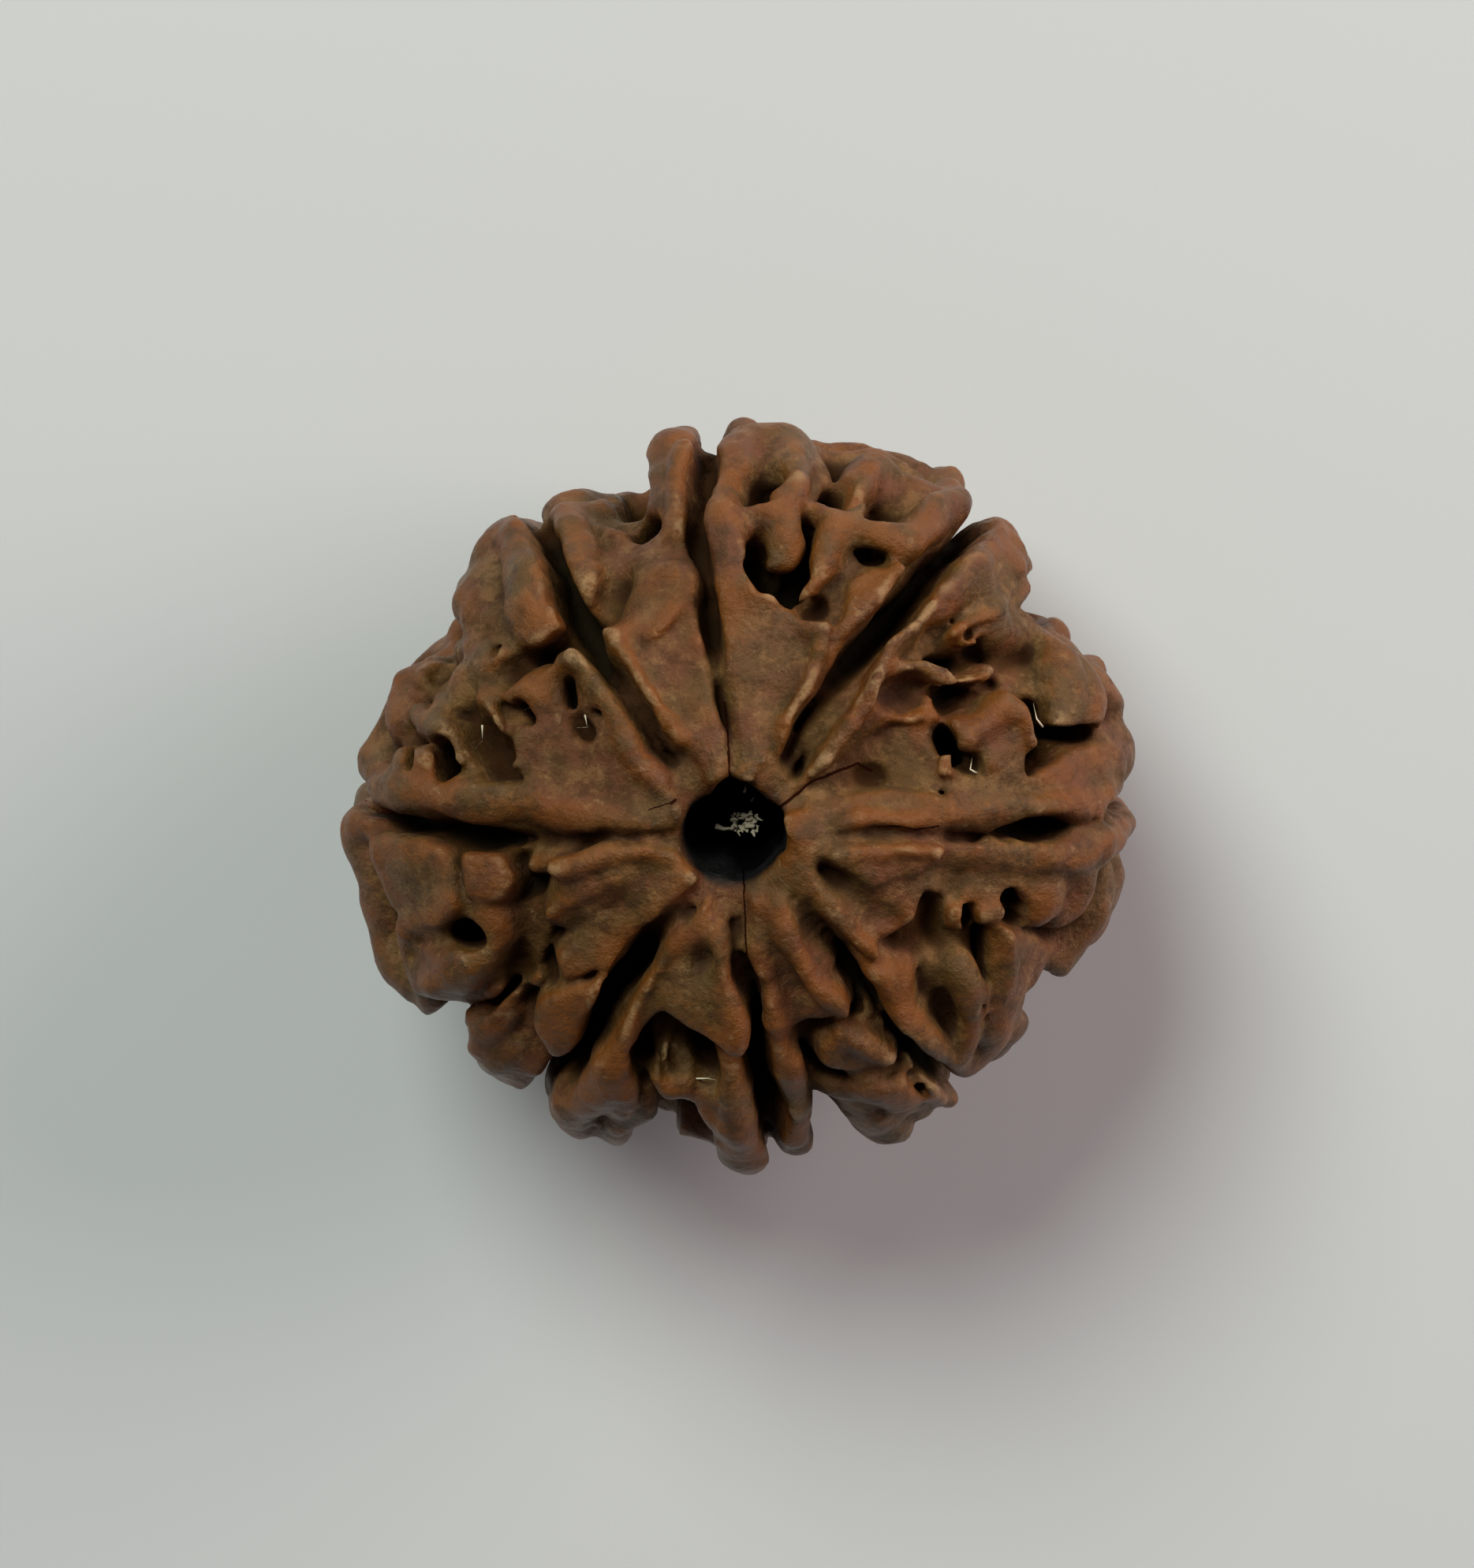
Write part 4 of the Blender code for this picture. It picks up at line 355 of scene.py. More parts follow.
FACE_6 = [
    ("plate", 0, 0.4, [(189.5, 6), (190.5, 24.5), (196, 25.8), (203, 29.5), (208, 29), (212.5, 26),
                       (214, 6)]),
    ("plate", 0, 0.4, [(211, 6), (211, 25), (215, 32), (222, 35), (229, 27), (232.5, 17), (232, 6)]),
    ("ridge", 0.26, [(190, 10, 0), (192, 15, 0.1), (192.4, 20, 0.15), (190.3, 25, 0.2)]),
    ("ridge", 0.3, [(203, 14, -0.05), (204, 20, 0.05), (204.5, 28.5, 0.12)]),
    ("scoop", 0.3, 0.5, [(197.5, 28)]),
    ("ridge", 0.35, [(233, 12, 0), (231, 19, 0.1), (229, 26, 0.1), (231.5, 33, 0.15)]),
    ("ridge", 0.24, [(184, 21.5, -0.7), (187, 25.5, -0.6), (190, 29, -0.5)]),
    ("plate", 0.2, 0.6, [(231, 30), (223, 33), (222.7, 43), (226.5, 47), (233, 48.5), (237, 42)]),
    ("plate", 0.15, 0.6, [(194, 32.5), (185.5, 33.5), (185, 41.5), (195.5, 42), (198, 36.5)]),
    ("plate", 0.15, 0.8, [(184.4, 43.5), (184.4, 60), (187, 67), (197, 66), (201, 53), (197, 43.5)]),
    ("plate", -1.2, 0.5, [(200, 30), (200, 42), (208, 45), (216, 38), (210, 30)]),
    ("plate", 0.1, 0.6, [(208, 47), (203, 60), (206, 70), (211, 69), (215, 58), (212.5, 50)]),
    ("ridge", 0.6, [(199.5, 58, 0.05), (202.5, 66, 0.15), (206, 68, 0.2), (209.5, 62, 0.25),
                    (209.5, 53, 0.25), (207.6, 47, 0.2), (204.5, 42, 0.05), (200, 39, -0.1)]),
    ("ridge", 0.24, [(213.5, 40, -0.9), (214.5, 44, -0.7), (212, 48, -0.5)]),
    ("ridge", 0.24, [(218, 40, -0.8), (217.5, 46, -0.7), (215.5, 50, -0.6), (215.5, 56, -0.5)]),
    ("ridge", 0.3, [(219, 48, -0.7), (220.5, 55, -0.5), (219.3, 62, -0.5)]),
    ("ridge", 0.9, [(225, 51, -1.1), (227, 58, -0.6), (228.5, 66, -0.1), (229, 76, 0.1)]),
    ("ridge", 0.9, [(231, 54, -1), (232.3, 62, -0.4), (233, 72, 0.1), (233, 80, 0.2)]),
    ("ridge", 0.4, [(222, 52, -0.5), (222.5, 60, -0.3), (224.5, 68, -0.2)]),
    ("ridge", 1, [(183.5, 68, 0), (186, 78, 0.2), (191, 80, 0.1)]),
    ("ridge", 1.1, [(191, 76, 0), (197, 80, 0.2), (203, 82, 0.5), (208.5, 77, 0.5)]),
    ("ridge", 0.8, [(211, 70, 0.1), (215, 73, -0.1), (217.5, 70, -0.4)]),
    ("plate", -0.3, 0.6, [(197, 40), (196, 55), (205, 58), (211, 54), (212, 45), (207, 40)]),
    ("well", 0.6, 5, (203.2, 45.8)),
    ("scoop", 0.7, 1, [(213.5, 42), (216.5, 45)]),
    ("pit", 0.22, 2, [(218.3, 50.5), (220.2, 57)]),
    ("scoop", 0.35, 0.3, [(211.5, 28)]),
]
FACE_7 = [
    ("plate", -0.5, 0.6, [(248, 6), (243, 21), (235, 22), (228, 20), (228, 6)]),
    ("plate", -0.15, 0.4, [(247, 6), (241, 20), (239.5, 29), (241.5, 41), (246, 37.5), (251, 30),
                           (258, 14)]),
    ("plate", -0.05, 0.4, [(250, 6), (249, 29), (258, 29.3), (266, 31.7), (270, 31.2), (268, 22),
                           (265, 12)]),
    ("ridge", 0.3, [(263, 11, 0), (265, 16, 0.05), (267, 22, 0.1), (269.3, 27, 0.15), (269.8, 31, 0.1)]),
    ("ridge", 0.45, [(244, 15, -0.2), (240.5, 22, -0.05), (240.3, 29, 0), (241.6, 35, 0.1)]),
    ("scoop", 0.75, 0.4, [(254.5, 20)]),
    ("plate", -1, 0.5, [(247, 36), (248, 42), (257, 46.5), (266, 44), (268, 32), (256, 30)]),
    ("ridge", 0.75, [(241.8, 35, 0), (243.3, 41, 0.15), (244.6, 46, 0.2), (244.5, 52, 0.2)]),
    ("ridge", 1.05, [(243.4, 50, 0), (243, 58, 0.3), (243.5, 68, 0.5), (245.5, 78, 0.6)]),
    ("ridge", 0.5, [(247.8, 47, -0.1), (248.8, 53, -0.1), (248.8, 61, -0.1)]),
    ("ridge", 0.7, [(252, 50, -0.8), (252.4, 57, -0.5), (251.5, 66, -0.2), (251, 78, 0.1)]),
    ("ridge", 0.3, [(255.5, 29, -0.5), (255, 34, -0.45), (254, 40, -0.4)]),
    ("ridge", 0.4, [(248.5, 38.5, -0.4), (251, 41.5, -0.4), (254, 44.8, -0.35), (257, 46.3, -0.35),
                    (260, 44.3, -0.35), (263, 46, -0.35)]),
    ("ridge", 0.6, [(268, 33, -0.5), (269.3, 39, 0), (270, 46, 0.15), (271, 53, 0.2)]),
    ("ridge", 0.85, [(271, 52, 0.1), (271, 61, 0.2), (271.5, 72, 0.2)]),
    ("ridge", 0.3, [(264.8, 43, -0.3), (266, 49, -0.2), (267.6, 56, -0.1), (268, 63, 0)]),
    ("scoop", 0.42, 1.2, [(251.5, 32.5), (250.8, 36)]),
    ("scoop", 0.5, 1.3, [(259.5, 33.5), (259, 37.5)]),
    ("pit", 0.26, 2.6, [(248.3, 40), (250.6, 44)]),
    ("pit", 0.3, 2.2, [(263.8, 40), (264.8, 43.5)]),
]
FACE_8 = [
    ("plate", -0.6, 0.5, [(284, 6), (283, 27), (268, 27), (264, 6)]),
    ("plate", -0.1, 0.4, [(284, 6), (281, 18), (280.5, 30), (290, 30.5), (300, 29.5), (298, 18),
                          (299, 6)]),
    ("plate", -0.9, 0.4, [(297, 6), (297, 27), (300.5, 29), (304, 22), (304.5, 12)]),
    ("ridge", 0.26, [(300, 9, 0), (299, 13, 0.1), (297.6, 18, 0.15), (298.3, 24, 0.2),
                     (300.8, 29.2, 0.25)]),
    ("ridge", 0.45, [(284, 12, -0.2), (281.5, 19, -0.1), (281, 27, 0), (281, 34, 0.05)]),
    ("ridge", 0.75, [(280.6, 34, 0.05), (280.3, 42, 0.15), (280.2, 50, 0.2), (279.8, 58, 0.2),
                     (279.5, 68, 0.1)]),
    ("plate", -0.95, 0.4, [(284, 31), (285.5, 45), (291, 46), (297, 40), (297, 31)]),
    ("plate", -0.1, 0.35, [(292, 32), (298, 36), (301.7, 43.5), (296, 44), (290, 40)]),
    ("ridge", 0.3, [(294.5, 33, -0.2), (298.3, 36.5, 0), (300, 40, 0.1), (301.6, 44, 0.2)]),
    ("ridge", 0.95, [(297, 47, -0.1), (299.3, 51, 0.1), (300, 56, 0.15)]),
    ("ridge", 0.6, [(303, 48, -0.3), (304, 54, 0), (304.7, 61, 0.2), (304.6, 70, 0.4), (305, 80, 0.4)]),
    ("ridge", 0.5, [(286.5, 46, -0.6), (290, 48, -0.5), (293, 49, -0.5)]),
    ("ridge", 0.85, [(292.5, 51, -0.7), (293.5, 60, -0.2), (295, 70, 0.2), (295, 80, 0.3)]),
    ("ridge", 0.7, [(299.5, 62, -0.1), (300.5, 72, 0.2)]),
    ("scoop", 0.65, 0.6, [(287.8, 33.5)]),
    ("scoop", 0.35, 0.9, [(298, 47.5), (300.8, 47)]),
    ("pit", 0.3, 2, [(287.6, 39.5), (289.5, 44)]),
    ("pit", 0.25, 1.6, [(289.5, 44), (292, 46)]),
    ("pit", 0.2, 1.4, [(302.6, 47), (302.4, 53), (302.8, 60)]),
]
FACE_9 = [
    ("plate", -0.3, 0.5, [(364, 6), (363.5, 30), (352, 30), (350, 6)]),
    ("plate", -0.55, 0.5, [(363.5, 42), (363, 76), (354, 76), (354, 42)]),
    ("plate", -0.25, 0.6, [(361, 6), (360, 12), (346, 13.5), (330, 12.5), (314, 11), (312, 6)]),
    ("plate", -0.5, 0.5, [(324, 6), (319, 19), (313, 23), (300, 21), (300, 6)]),
    ("plate", 0.12, 0.2, [(351.5, 11.5), (353.6, 26.8), (350, 27.2), (344, 25), (338, 17.5), (341.5, 12)]),
    ("plate", -0.1, 0.3, [(340, 12.5), (344, 24.5), (339, 27.5), (331.5, 26.5), (323, 24), (324, 14),
                          (331, 11)]),
    ("plate", -0.3, 0.35, [(335, 6), (332, 26), (324, 25), (317.5, 23.5), (319.5, 15), (324, 8)]),
    ("ridge", 0.24, [(350.5, 11.5, 0), (352, 18, 0.15), (353.3, 26.3, 0.25)]),
    ("ridge", 0.28, [(331, 10, -0.2), (322, 15, -0.05), (318.8, 19, 0), (317.5, 24, 0.1)]),
    ("ridge", 0.5, [(314.5, 25, -0.4), (313.4, 28.5, -0.1), (310.2, 33, 0.05), (308.6, 39, 0.15),
                    (309, 45, 0.2), (308.5, 51, 0.2)]),
    ("ridge", 0.85, [(309.5, 50, 0), (310.5, 57, 0.1), (311.5, 66, 0)]),
    ("plate", -0.6, 0.4, [(353, 26), (353.5, 40), (343, 38), (339, 34), (337.5, 27)]),
    ("plate", -0.2, 0.5, [(353, 33), (353.5, 46), (343.5, 44.5), (338, 38), (340, 33)]),
    ("plate", -0.05, 0.5, [(353.5, 43), (354, 62), (347.5, 60), (345, 50), (344, 43)]),
    ("ridge", 0.7, [(354.3, 32, -0.2), (354.3, 40, 0.05), (354, 48, 0.15), (354, 57, 0.2), (355, 68, 0.3),
                    (355.3, 80, 0.3)]),
    ("ridge", 0.35, [(341.5, 27.5, -0.2), (337.5, 30, -0.1), (337.3, 35, 0), (339.5, 39, 0),
                     (343, 43, 0.05)]),
    ("plate", -1.1, 0.4, [(336, 28), (337, 40), (326, 44), (318, 38), (316, 30), (326, 26)]),
    ("ridge", 0.35, [(341.5, 43.5, 0.05), (338, 46.5, 0.1), (334, 48.5, 0.15), (330.5, 50.5, 0.15),
                     (327, 52, 0.1)]),
    ("plate", -0.1, 0.6, [(338, 49), (334.5, 64), (328, 60), (326, 50), (331, 47)]),
    ("ridge", 0.8, [(350, 49, -0.1), (346.5, 50.5, 0.1), (343.3, 52.5, 0.1)]),
    ("ridge", 0.7, [(351, 59, 0), (346.5, 62, 0.1), (342, 60, 0.1)]),
    ("ridge", 1.1, [(348.5, 70, 0.1), (343, 72, 0.2), (338, 70, 0.1), (333.5, 66, 0)]),
    ("ridge", 0.9, [(349.5, 78, 0.1), (344, 80, 0.3), (339, 79, 0.2)]),
    ("ridge", 0.32, [(318, 30.5, -0.4), (315.8, 34, -0.05), (312.6, 38.5, 0.1)]),
    ("ridge", 0.45, [(326.5, 40, -0.2), (323.3, 45, 0.1), (319.3, 50, 0.2), (314.5, 54, 0.2),
                     (311, 57, 0.1)]),
    ("plate", -1, 0.4, [(324, 34), (323, 46), (314, 52), (309, 46), (312, 36)]),
    ("ridge", 0.7, [(327, 53, -0.1), (322.5, 55, 0.1), (318.5, 60, 0.1), (314, 63, 0)]),
    ("ridge", 0.9, [(323.5, 60, -0.2), (319.5, 68, -0.1), (314, 74, 0)]),
    ("scoop", 0.26, 0.6, [(336.5, 11), (333, 14)]),
    ("scoop", 0.45, 0.12, [(333, 14), (328, 23)]),
    ("scoop", 0.5, 0.8, [(334.5, 29.5), (331.5, 31.5)]),
    ("pit", 0.4, 2.6, [(337, 37.5), (334.7, 40)]),
    ("scoop", 0.4, 1, [(329.5, 32), (326.8, 35.3)]),
    ("pit", 0.34, 2.2, [(344.2, 44.8), (341.3, 49)]),
    ("pit", 0.28, 2.2, [(339.7, 46.5), (338.8, 51)]),
    ("scoop", 0.45, 0.8, [(318, 36), (316, 39)]),
    ("scoop", 0.4, 0.7, [(317, 43), (315.5, 46)]),
    ("pit", 0.18, 1.2, [(323.5, 48), (320.5, 53)]),
]
FACES = [FACE_1, FACE_2, FACE_3, FACE_4, FACE_5, FACE_6, FACE_7, FACE_8, FACE_9]


def waist_share(bearing):
    """The size of the equator against the envelope at a bearing, for one number or a whole array."""
    bearings, drops = zip(*WAIST)
    return 1 - np.interp(np.mod(bearing, 360), bearings, drops) / REACH_X


def true_fall(bearing, fall):
    """The fall on the narrowed bead that lies as far from the axis as the same fall on the envelope."""
    if fall >= 90:
        return fall
    share = min(waist_share(bearing), 1) ** (1 / BLUNTNESS)
    sine = math.sin(math.radians(fall)) / share
    limit = math.sin(math.radians(LAST_STRETCH))
    if sine < limit:
        return math.degrees(math.asin(sine))
    last = math.degrees(math.asin(limit * share))
    return LAST_STRETCH + (90 - LAST_STRETCH) * (fall - last) / (90 - last)


def spot(bearing, fall, rise):
    """A place over the envelope and the direction that faces out there."""
    b, t = math.radians(bearing), math.radians(true_fall(bearing, fall))
    share = waist_share(bearing)
    out = math.sin(t) ** BLUNTNESS
    up = math.copysign(abs(math.cos(t)) ** BLUNTNESS, math.cos(t))
    place = np.array([REACH_X * share * out * math.cos(b), REACH_Y * share * out * math.sin(b), REACH_Z * up])
    facing = place / np.array([REACH_X * share, REACH_Y * share, REACH_Z]) ** 2
    facing /= np.linalg.norm(facing)
    upright = np.interp(min(fall, 180 - fall), *zip(*UPRIGHT))
    lean = facing + np.array([0, 0, math.copysign(upright, 90 - fall)])
    lean /= np.linalg.norm(lean)
    return place + lean * rise + np.array([0, 0, CENTRE_Z]), lean


def bend(points):
    """Points along a smooth curve through the given ones, with one more between each pair."""
    if len(points) < 3:
        return points
    path = []
    for i in range(len(points) - 1):
        before, start, end, after = [
            np.array(points[j], float) for j in (max(i - 1, 0), i, i + 1, min(i + 2, len(points) - 1))]
        path += [start, (9 * (start + end) - before - after) / 16]
    path.append(np.array(points[-1], float))
    return path


def join(a, b, blend):
    """The nearer of two distances, rounded where they meet."""
    overlap = np.maximum(blend - np.abs(a - b), 0) / blend
    return np.minimum(a, b) - overlap * overlap * blend / 4


class Clay:
    """A block of distances to the surface of the bead, under zero inside it."""

    def __init__(self, cell):
        self.cell = cell
        # A third of a cell keeps the foot's flat between two layers of the grid
        self.low = np.array(BLOCK_LOW) + np.array([0, 0, cell / 3])
        counts = np.ceil(np.array(BLOCK_SIZE) / cell).astype(int) + 1
        self.axes = [self.low[i] + cell * np.arange(counts[i]) for i in range(3)]
        x, y, z = self.axes[0][:, None, None], self.axes[1][None, :, None], self.axes[2][None, None, :]
        share = waist_share(np.degrees(np.arctan2(y, x)))
        power = 2 / BLUNTNESS
        across = np.sqrt((x / REACH_X) ** 2 + (y / REACH_Y) ** 2) / share
        size = (across ** power + np.abs((z - CENTRE_Z) / REACH_Z) ** power) ** (1 / power) + 1e-6
        far = np.sqrt(x * x + y * y + (z - CENTRE_Z) ** 2)
        slope = np.sqrt(across ** 2 / REACH_X ** 2 + ((z - CENTRE_Z) / REACH_Z ** 2) ** 2)
        steep = slope * far / (size * size)
        self.distance = (size - 1) * far / size / np.maximum(steep * size, 1) + CORE_DEPTH

    def window(self, corners, margin):
        """The part of the block round some points, as slices and as coordinates."""
        low = np.floor((corners.min(0) - margin - self.low) / self.cell).astype(int)
        high = np.ceil((corners.max(0) + margin - self.low) / self.cell).astype(int) + 1
        cut = tuple(slice(max(a, 0), max(b, 0)) for a, b in zip(low, high))
        x, y, z = (self.axes[i][cut[i]] for i in range(3))
        return cut, x[:, None, None], y[None, :, None], z[None, None, :]

    def wall(self, start, end, inward, depth, radius, spread):
        """Distances to a wall that hangs inward from a line, spread wider at its foot."""
        along = end - start
        length = max(float(along @ along), 1e-9)
        inward = inward - (inward @ along) * along / length
        inward = inward / np.linalg.norm(inward)
        corners = np.array([start, end, start + inward * depth, end + inward * depth])
        cut, x, y, z = self.window(corners, radius + abs(spread) + 1.2)
        x, y, z = x - start[0], y - start[1], z - start[2]
        share = np.clip((x * along[0] + y * along[1] + z * along[2]) / length, 0, 1)
        down = np.clip(x * inward[0] + y * inward[1] + z * inward[2], 0, depth)
        off_x = x - share * along[0] - down * inward[0]
        off_y = y - share * along[1] - down * inward[1]
        off_z = z - share * along[2] - down * inward[2]
        width = radius + spread * down / depth
        return cut, np.sqrt(off_x ** 2 + off_y ** 2 + off_z ** 2) - width

    def add(self, cut, distance, blend):
        self.distance[cut] = join(self.distance[cut], distance, blend)

    def carve(self, cut, distance, blend):
        self.distance[cut] = -join(-self.distance[cut], distance, blend)

    def ridge(self, radius, points, depth=2.6, spread=0.2):
        path = [spot(b, f, rise - radius) for b, f, rise in bend(points)]
        for (start, facing), (end, facing_end) in zip(path, path[1:]):
            cut, distance = self.wall(start, end, -facing - facing_end, depth, radius, spread)
            self.add(cut, distance, RIDGE_BLEND * EDGE_SOFTNESS)

    def finger(self, radius, points):
        self.ridge(radius, points, depth=0.3, spread=0.0)

    def plate(self, rise, rounding, corners):
        """A flat with a free edge, its sides sloping a little wider toward the core."""
        places = [spot(b, f, rise) for b, f in corners]
        tops = np.array([place for place, lean in places])
        lean = sum(lean for place, lean in places)
        lean /= np.linalg.norm(lean)
        middle = tops.mean(0)
        edges = list(zip(tops, np.roll(tops, -1, axis=0)))
        flat = sum(np.cross(start - middle, end - middle) for start, end in edges)
        flat *= math.copysign(1 / np.linalg.norm(flat), flat @ lean)
        cut, x, y, z = self.window(np.vstack([tops, tops - lean * 3]), 1.2)
        distance = flat[0] * (x - middle[0]) + flat[1] * (y - middle[1]) + flat[2] * (z - middle[2])
        for start, end in edges:
            side = np.cross(lean, end - start)
            side /= np.linalg.norm(side)
            if side @ (middle - start) > 0:
                side = -side
            side = side * 0.99 + lean * 0.12
            edge = side[0] * (x - start[0]) + side[1] * (y - start[1]) + side[2] * (z - start[2])
            distance = -join(-distance, -edge, rounding * EDGE_SOFTNESS)
        self.add(cut, distance, PLATE_BLEND * EDGE_SOFTNESS)

    def sink(self, places, depth, radius, spread, blend):
        """A hollow under one place or along a line of them, cut from a little over the envelope."""
        path = [spot(b, f, OPENING) for b, f in places]
        if len(path) == 1:
            path = path + [(path[0][0] + 0.01, path[0][1])]
        for (start, facing), (end, facing_end) in zip(path, path[1:]):
            cut, distance = self.wall(start, end, -facing - facing_end, depth + OPENING, radius, spread)
            self.carve(cut, distance, blend)

    def pit(self, radius, depth, places):
        """A round or long hole with steep sides."""
        self.sink(places, depth, radius, -0.2 * radius, PIT_BLEND)

    def well(self, radius, depth, place):
        """A round hole straight down from a place on the envelope."""
        top = spot(*place, 0.0)[0] + np.array([0, 0, 1.0])
        bottom = top - np.array([0.01, 0, depth + 1.0])
        cut, distance = self.wall(top, bottom, np.array([1.0, 0, 0]), 0.01, radius, 0.0)
        self.carve(cut, distance, WELL_BLEND)

    def scoop(self, radius, depth, places):
        """A shallow round-bottomed hollow, widest at its rim."""
        self.sink(places, depth, radius * 1.3, -0.6 * radius, SCOOP_BLEND)

    def groove(self, points, top, profile, blend):
        """A cut down from a bent line over the envelope; the profile gives its width and spread."""
        path = bend(points)
        for one, two in zip(path, path[1:]):
            start, facing = spot(one[0], one[1], top)
            end, facing_end = spot(two[0], two[1], top)
            width, depth = (one[2] + two[2]) / 2, (one[3] + two[3]) / 2 + top
            cut, distance = self.wall(start, end, -facing - facing_end, depth, *profile(width))
            self.carve(cut, distance, blend)

    def seam(self, points):
        """A cleft between two faces, open at the top and narrow at its floor."""
        self.groove(points, 0.5, lambda width: (width * 1.1, -0.5 * width), SEAM_BLEND)

    def valley(self, points):
        """A soft hollow between two faces, its slopes meeting at the bottom."""
        self.groove(points, 0.3, lambda width: (width, 0.1 - width), VALLEY_BLEND)

    def collar(self, fall, rise):
        """The ground round a mouth of the hole, where the nine faces run together."""
        self.plate(rise, 0.4, [(bearing, fall) for bearing in range(0, 360, 30)])

    def hole(self):
        """The thread hole, wide at the mouth and narrower inside."""
        x, y, z = self.axes[0][:, None, None], self.axes[1][None, :, None], self.axes[2][None, None, :]
        mouth = np.interp(np.degrees(np.arctan2(y, x)) % 360, *zip(*MOUTH))
        radius = mouth * np.interp(z, *zip(*HOLE_WIDTHS))
        self.carve((slice(None),) * 3, np.sqrt(x * x + y * y) - radius, PIT_BLEND)

    def stand(self):
        """The small flat that the bead rests on."""
        self.distance = np.maximum(self.distance, -self.axes[2][None, None, :])


def flange(clay, draw, edge, side):
    """The wall along one edge of a face, on the side of the edge where the face lies."""
    wall = []
    for fall in (80, 92, 103, 115, 128, 140, 151, 160):
        away = 5.5 + 2.5 * (fall > 130) + 5 * (fall > 150) + draw.uniform(-1.5, 1.5)
        wall.append((edge + side * away, fall, draw.uniform(-0.45, 0.15)))
    clay.ridge(draw.uniform(0.7, 0.95), wall)


def cross_walls(clay, draw, left, right):
    inset = 0.18 * (right - left)
    for fall in (86, 98, 110, 122, 134, 146):
        tilt = draw.uniform(-8, 8)
        middle = (left + right) / 2 + draw.uniform(-4, 4)
        start = (left + inset, fall - tilt, draw.uniform(-0.9, -0.2))
        end = (right - inset, fall - tilt, draw.uniform(-0.9, -0.2))
        crest = (middle, fall + tilt, draw.uniform(-0.6, 0.1))
        clay.ridge(draw.uniform(0.45, 0.8), [start, crest, end])


def lobes_and_pits(clay, draw, left, span):
    for low, high in ((88, 104), (106, 122), (124, 140)):
        bearing = left + span * draw.uniform(0.3, 0.7)
        fall = draw.uniform(low, high)
        turn = draw.uniform(-3, 3)
        lobe = [(bearing - turn, fall - 4, -0.2), (bearing + turn, fall + 4, 0)]
        clay.ridge(draw.uniform(0.7, 1.1), lobe)
    for fall in (92, 104, 116, 128, 139):
        bearing = left + span * draw.uniform(0.3, 0.7)
        clay.pit(draw.uniform(0.3, 0.5), draw.uniform(1.4, 2.6), [(bearing, fall + draw.uniform(-3, 3))])


def lower_net(clay):
    """The sides and the underside, which the mouth side hides: the same kinds of form by a seeded rule."""
    draw = random.Random(SEED)
    edges = sorted(bearing for bearing, depth in LOWER_SEAMS)
    for left, right in zip(edges, edges[1:] + [edges[0] + 360]):
        span = right - left
        flange(clay, draw, left, 1)
        flange(clay, draw, right, -1)
        clay.plate(-0.1, 0.4, [(left + 0.25 * span, 171), (left + 0.2 * span, 154),
                               (right - 0.2 * span, 152), (right - 0.25 * span, 171)])
        cross_walls(clay, draw, left, right)
        lobes_and_pits(clay, draw, left, span)


def lower_seams(clay):
    """Carries each seam on over the equator and under the bead."""
    for seam, (bearing, depth) in zip(SEAMS, LOWER_SEAMS):
        upper = [seam[-1], (bearing, 84, 0.28, depth)] if seam[-1][1] > 40 else []
        clay.seam(upper + [(bearing, *rest) for rest in UNDER_SEAM])


def sculpt(cell):
    clay = Clay(cell)
    clay.collar(*UPPER_COLLAR)
    clay.collar(*LOWER_COLLAR)
    lower_net(clay)
    for face in FACES:
        for kind, *how in face:
            getattr(clay, kind)(*how)
    for valley in VALLEYS:
        clay.valley(valley)
    for seam in SEAMS:
        clay.seam(seam)
    lower_seams(clay)
    for bearing, width, depth in BAYS:
        clay.seam([(bearing, fall, width, depth + CORE_DEPTH) for fall in BAY_FALLS])
    clay.hole()
    clay.stand()
    return clay


def fill_corners(solid):
    """Fills the cells where two parts of the solid, or of the air, would touch at an edge or a corner."""
    count = -1
    while count != solid.sum():
        count = solid.sum()
        for first, second in ((0, 1), (0, 2), (1, 2)):
            views = []
            for i, j in ((0, 0), (1, 0), (0, 1), (1, 1)):
                cut = [slice(None)] * 3
                cut[first] = slice(i, solid.shape[first] - 1 + i)
                cut[second] = slice(j, solid.shape[second] - 1 + j)
                views.append(solid[tuple(cut)])
            crossed = views[0] & views[3] & ~views[1] & ~views[2]
            crossed |= views[1] & views[2] & ~views[0] & ~views[3]
            for view in views:
                view |= crossed
        for opposite in ((0, 0, 0), (1, 0, 0), (0, 1, 0), (0, 0, 1)):
            views = [solid[tuple(slice(k, n - 1 + k) for k, n in zip((i, j, m), solid.shape))]
                     for i in (0, 1) for j in (0, 1) for m in (0, 1)]
            near = opposite[0] * 4 + opposite[1] * 2 + opposite[2]
            total = sum(view.astype(np.int8) for view in views)
            both = views[near] & views[7 - near]
            neither = ~views[near] & ~views[7 - near]
            crossed = ((total == 2) & both) | ((total == 6) & neither)
            for view in views:
                view |= crossed


